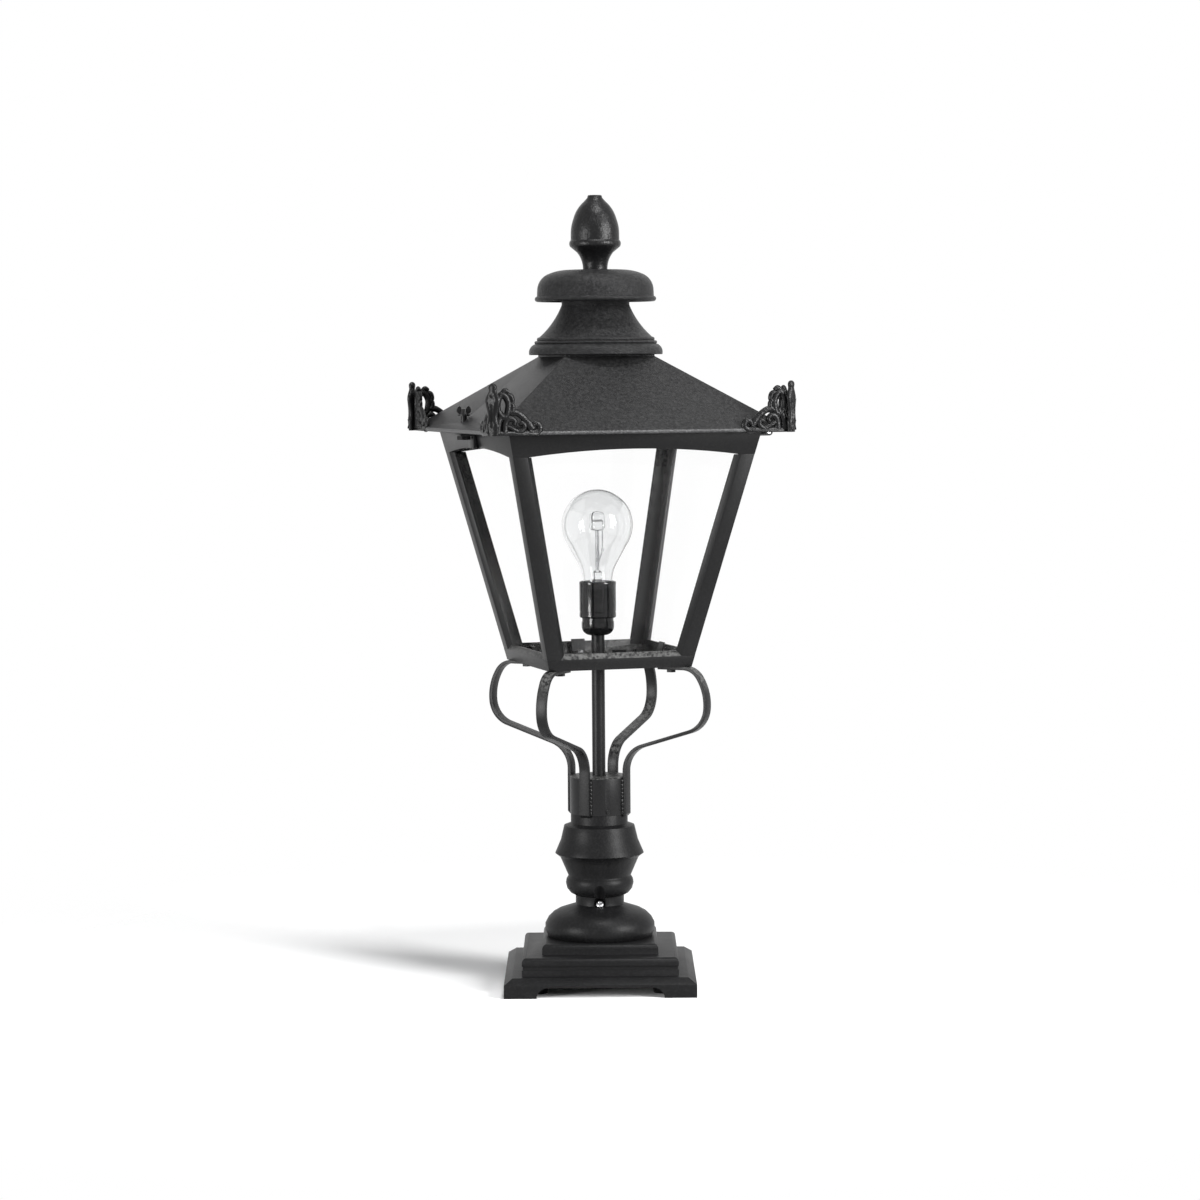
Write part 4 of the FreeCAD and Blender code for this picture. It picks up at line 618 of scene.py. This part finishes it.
def corner_ornaments():
    """A leaf on each roof corner with a wing along the eave on either side of it."""
    bm = bmesh.new()
    leaf(bm)
    spread = -ORNAMENT_REACH * math.sqrt(2) - 0.6
    bmesh.ops.translate(bm, vec=(0, spread, 0), verts=bm.verts)
    diagonal = Matrix.Rotation(math.radians(-45), 3, "Z")
    bmesh.ops.rotate(bm, cent=(0, 0, 0), matrix=diagonal, verts=bm.verts)
    of_leaf = set(bm.verts)
    wing(bm)
    of_wing = [vert for vert in bm.verts if vert not in of_leaf]
    bmesh.ops.translate(bm, vec=(-ORNAMENT_REACH, -ORNAMENT_REACH, 0), verts=of_wing)
    geometry = of_wing + [face for face in bm.faces if face.verts[0] not in of_leaf]
    copied = bmesh.ops.duplicate(bm, geom=geometry)["geom"]
    swap = Matrix(((0, 1, 0), (1, 0, 0), (0, 0, 1)))
    other = [item for item in copied if isinstance(item, bmesh.types.BMVert)]
    bmesh.ops.transform(bm, matrix=swap.to_4x4(), verts=other)
    bmesh.ops.scale(bm, vec=(1.0, 1.0, ORNAMENT_STRETCH), verts=bm.verts)
    bmesh.ops.translate(bm, vec=(0, 0, ORNAMENT_FOOT), verts=bm.verts)
    for k, side in enumerate(SIDES):
        turned = bm.copy()
        quarter = Matrix.Rotation(math.radians(90 * k), 3, "Z")
        bmesh.ops.rotate(turned, cent=(0, 0, 0), matrix=quarter, verts=turned.verts)
        finished("cast_ornament_" + side, turned, "roof", "ornament_black",
                 replaces=("corner_ornament_" + side,), sharp=50.0)
    bm.free()


# ---- lampholder and bulb ------------------------------------------------------------------

HOLDER_CAP_TOP = 309.8
HOLDER_MOUTH = 340.5
BULB_FOOT = 316.5
BULB_METAL_TOP = 340.0
BULB_WIDE = 388.2
BULB_R = 30.0


def lampholder():
    """Glossy cap and shell of the lampholder."""
    foot, dome, r, wall = 295.1, 301.9, 13.7, 1.4
    bm = bmesh.new()
    lathe(bm, (5.55, foot), (6.9, foot), ((11.9, foot + 2.6), (r - 0.1, dome - 0.4)), (r, dome + 0.4),
          (r, HOLDER_CAP_TOP - 3.4), (r - 0.5, HOLDER_CAP_TOP - 3.0), (r - 0.5, HOLDER_CAP_TOP),
          (r - wall, HOLDER_CAP_TOP), (r - wall, dome + 1.0), (5.55, dome), fineness=0.8)
    finished("smooth_holder_cap", bm, "head", "holder_black", replaces=("holder_cap",))
    foot, top, r = HOLDER_CAP_TOP, HOLDER_MOUTH, 15.4
    bm = bmesh.new()
    lathe(bm, (9.7, foot), (r - 1.4, foot), ((r - 0.35, foot + 0.45), (r, foot + 1.5)), (r, foot + 4.6),
          ((r - 0.45, foot + 5.1), (r, foot + 5.6)), (r, top - 2.6),
          ((r + 0.15, top - 1.9), (r, top - 0.8)), ((r - 0.7, top), (r - wall, top - 0.8)),
          (r - wall, foot + wall), (9.7, foot + wall), fineness=0.8)
    finished("smooth_holder_shell", bm, "head", "holder_black", replaces=("holder_shell",))


def bulb():
    """Blown envelope, ridged screw base and the capsule inside."""
    low = math.radians(35.0)
    foot, wall = 335.2, 0.9
    bm = bmesh.new()

    def envelope(inset):
        r = BULB_R - inset
        flank = (r * math.cos(low), BULB_WIDE - r * math.sin(low))
        return ((12.4 - inset, BULB_METAL_TOP), ((13.2 - inset, 347.6), (16.9 - inset, 356.7)), flank,
                ((r, BULB_WIDE), (r * math.cos(low), BULB_WIDE + r * math.sin(low))),
                ((r * math.cos(1.1), BULB_WIDE + r * math.sin(1.1)), (0.0, BULB_WIDE + r)))

    outer = profile((12.4, foot), envelope(0.0), 1.2)
    inner = profile((12.4 - wall, foot), envelope(wall), 1.2)
    lathe(bm, outer[-1], *(outer[-2::-1] + inner))
    finished("blown_bulb", bm, "bulb", "bulb_clear", replaces=("bulb_glass",))

    r = 13.05
    bm = bmesh.new()
    ridges = [(r - 0.42 * (1 - math.cos(math.tau * k / 8)) / 2, 321.0 + 3.6 * k / 8) for k in range(33)]
    lathe(bm, (0.0, BULB_FOOT), (4.8, BULB_FOOT), (4.8, BULB_FOOT + 0.9), (9.0, BULB_FOOT + 1.4),
          (r, 320.5), *ridges, (r, 337.0), ((r - 0.5, 338.4), (12.6, BULB_METAL_TOP)),
          (12.5, BULB_METAL_TOP), (12.5, 321.1), (0.0, 321.1), fineness=0.8, segments=64)
    finished("ridged_base", bm, "bulb", "base_metal", replaces=("bulb_base",))

    foot, top, r = 383.4, 399.6, 6.6
    bm = bmesh.new()
    lathe(bm, (0.0, foot), (2.4, foot), ((r - 1.2, foot + 0.9), (r, foot + 3.0)), (r, top - 4.6),
          ((r - 1.6, top - 1.4), (2.4, top - 0.4)), (1.2, top), (0.0, top), fineness=0.7, segments=48)
    finished("blown_capsule", bm, "bulb", "bulb_clear", replaces=("bulb_capsule",))


def filament():
    """Coiled filament inside the capsule, on two short legs."""
    bm = bmesh.new()
    turns, radius, left, right, height = 9, 0.85, -3.2, 3.2, 391.5
    coil = []
    for k in range(turns * 8 + 1):
        a = math.tau * k / 8
        x = left + (right - left) * k / (turns * 8)
        coil.append(Vector((x, radius * math.cos(a), height + radius * math.sin(a))))
    leg_low, leg_high = 384.0, 388.5
    path = [Vector((left, 0, leg_low)), Vector((left, 0, leg_high))] + coil
    path += [Vector((right, 0, leg_high)), Vector((right, 0, leg_low))]
    rings = []
    for k, here in enumerate(path):
        way = (path[min(k + 1, len(path) - 1)] - path[max(k - 1, 0)]).normalized()
        matrix = way.to_track_quat("Z", "Y").to_matrix().to_4x4() @ Matrix.Scale(0.2, 4)
        matrix.translation = here
        rings.append(ring_at(bm, matrix, 6, capped=k in (0, len(path) - 1)))
    bridge(bm, rings)
    finished("filament", bm, "bulb", "lead_wire")


# ---- small fixings and welds ---------------------------------------------------------------

def arm_welds():
    """Weld beads down both sides of each arm's foot, where it lies on the collar."""
    collar_r, off_middle, foot, pitch = 24.3, 4.7, 145.5, 3.3
    bm = bmesh.new()
    for k in range(4):
        arm = Matrix.Rotation(math.radians(-135 + 90 * k), 4, "Z")
        for side in (-1, 1):
            for step in range(9):
                out = collar_r + draw.uniform(-0.1, 0.2)
                up = foot + pitch * step + draw.uniform(-0.4, 0.4)
                size = Matrix.Diagonal((1.2, draw.uniform(1.0, 1.4), draw.uniform(1.7, 2.3), 1.0))
                place = arm @ Matrix.Translation((out, side * off_middle, up))
                bmesh.ops.create_icosphere(bm, subdivisions=2, radius=1.0, matrix=place @ size)
    finished("arm_welds", bm, "head", "bar_black", sharp=80.0)


def neck_screw_heads():
    """Domed screw heads with a round socket, one facing the front."""
    seat_r, seat_z = 17.5, 67.7
    bm = bmesh.new()
    lathe(bm, (0.0, 0.5), (1.2, 0.5), (1.35, 2.3), (1.7, 2.5), ((2.9, 2.0), (3.5, 0.6)),
          (3.5, 0.0), (0.0, 0.0), fineness=0.5, segments=32)
    tilt = Matrix.Rotation(math.radians(45.0), 4, "Y")
    heads = bmesh.new()
    for k in range(3):
        copy = bm.copy()
        way = Matrix.Rotation(math.radians(-90 + 120 * k), 4, "Z")
        seat = Matrix.Translation((seat_r, 0, seat_z))
        bmesh.ops.transform(copy, matrix=way @ seat @ tilt, verts=copy.verts)
        mesh = bpy.data.meshes.new("one_head")
        copy.to_mesh(mesh)
        copy.free()
        heads.from_mesh(mesh)
        bpy.data.meshes.remove(mesh)
    bm.free()
    finished("neck_screw_heads", heads, "pedestal", "bright_steel", turned=False,
             replaces=("neck_screws",))


vent_cap()
chimney_neck()
finial()
eave_bead()
corner_ornaments()
lampholder()
bulb()
filament()
arm_welds()
neck_screw_heads()

SOFT_EDGES = {             # width in millimetres of the rounding on a node's hard edges
    "roof_shell": 1.3, "plinth_base": 0.6, "baluster": 0.5, "mounting_collar": 0.4, "bottom_frame": 0.3,
    "top_frame": 0.3, "latch_tab": 0.3, "neck_bridge": 0.3,
}
for node_name, width in SOFT_EDGES.items():
    softened(node_name, width)
for side in SIDES:
    softened("scroll_arm_" + side, 0.8, 3)
    softened("corner_post_" + side, 0.3)
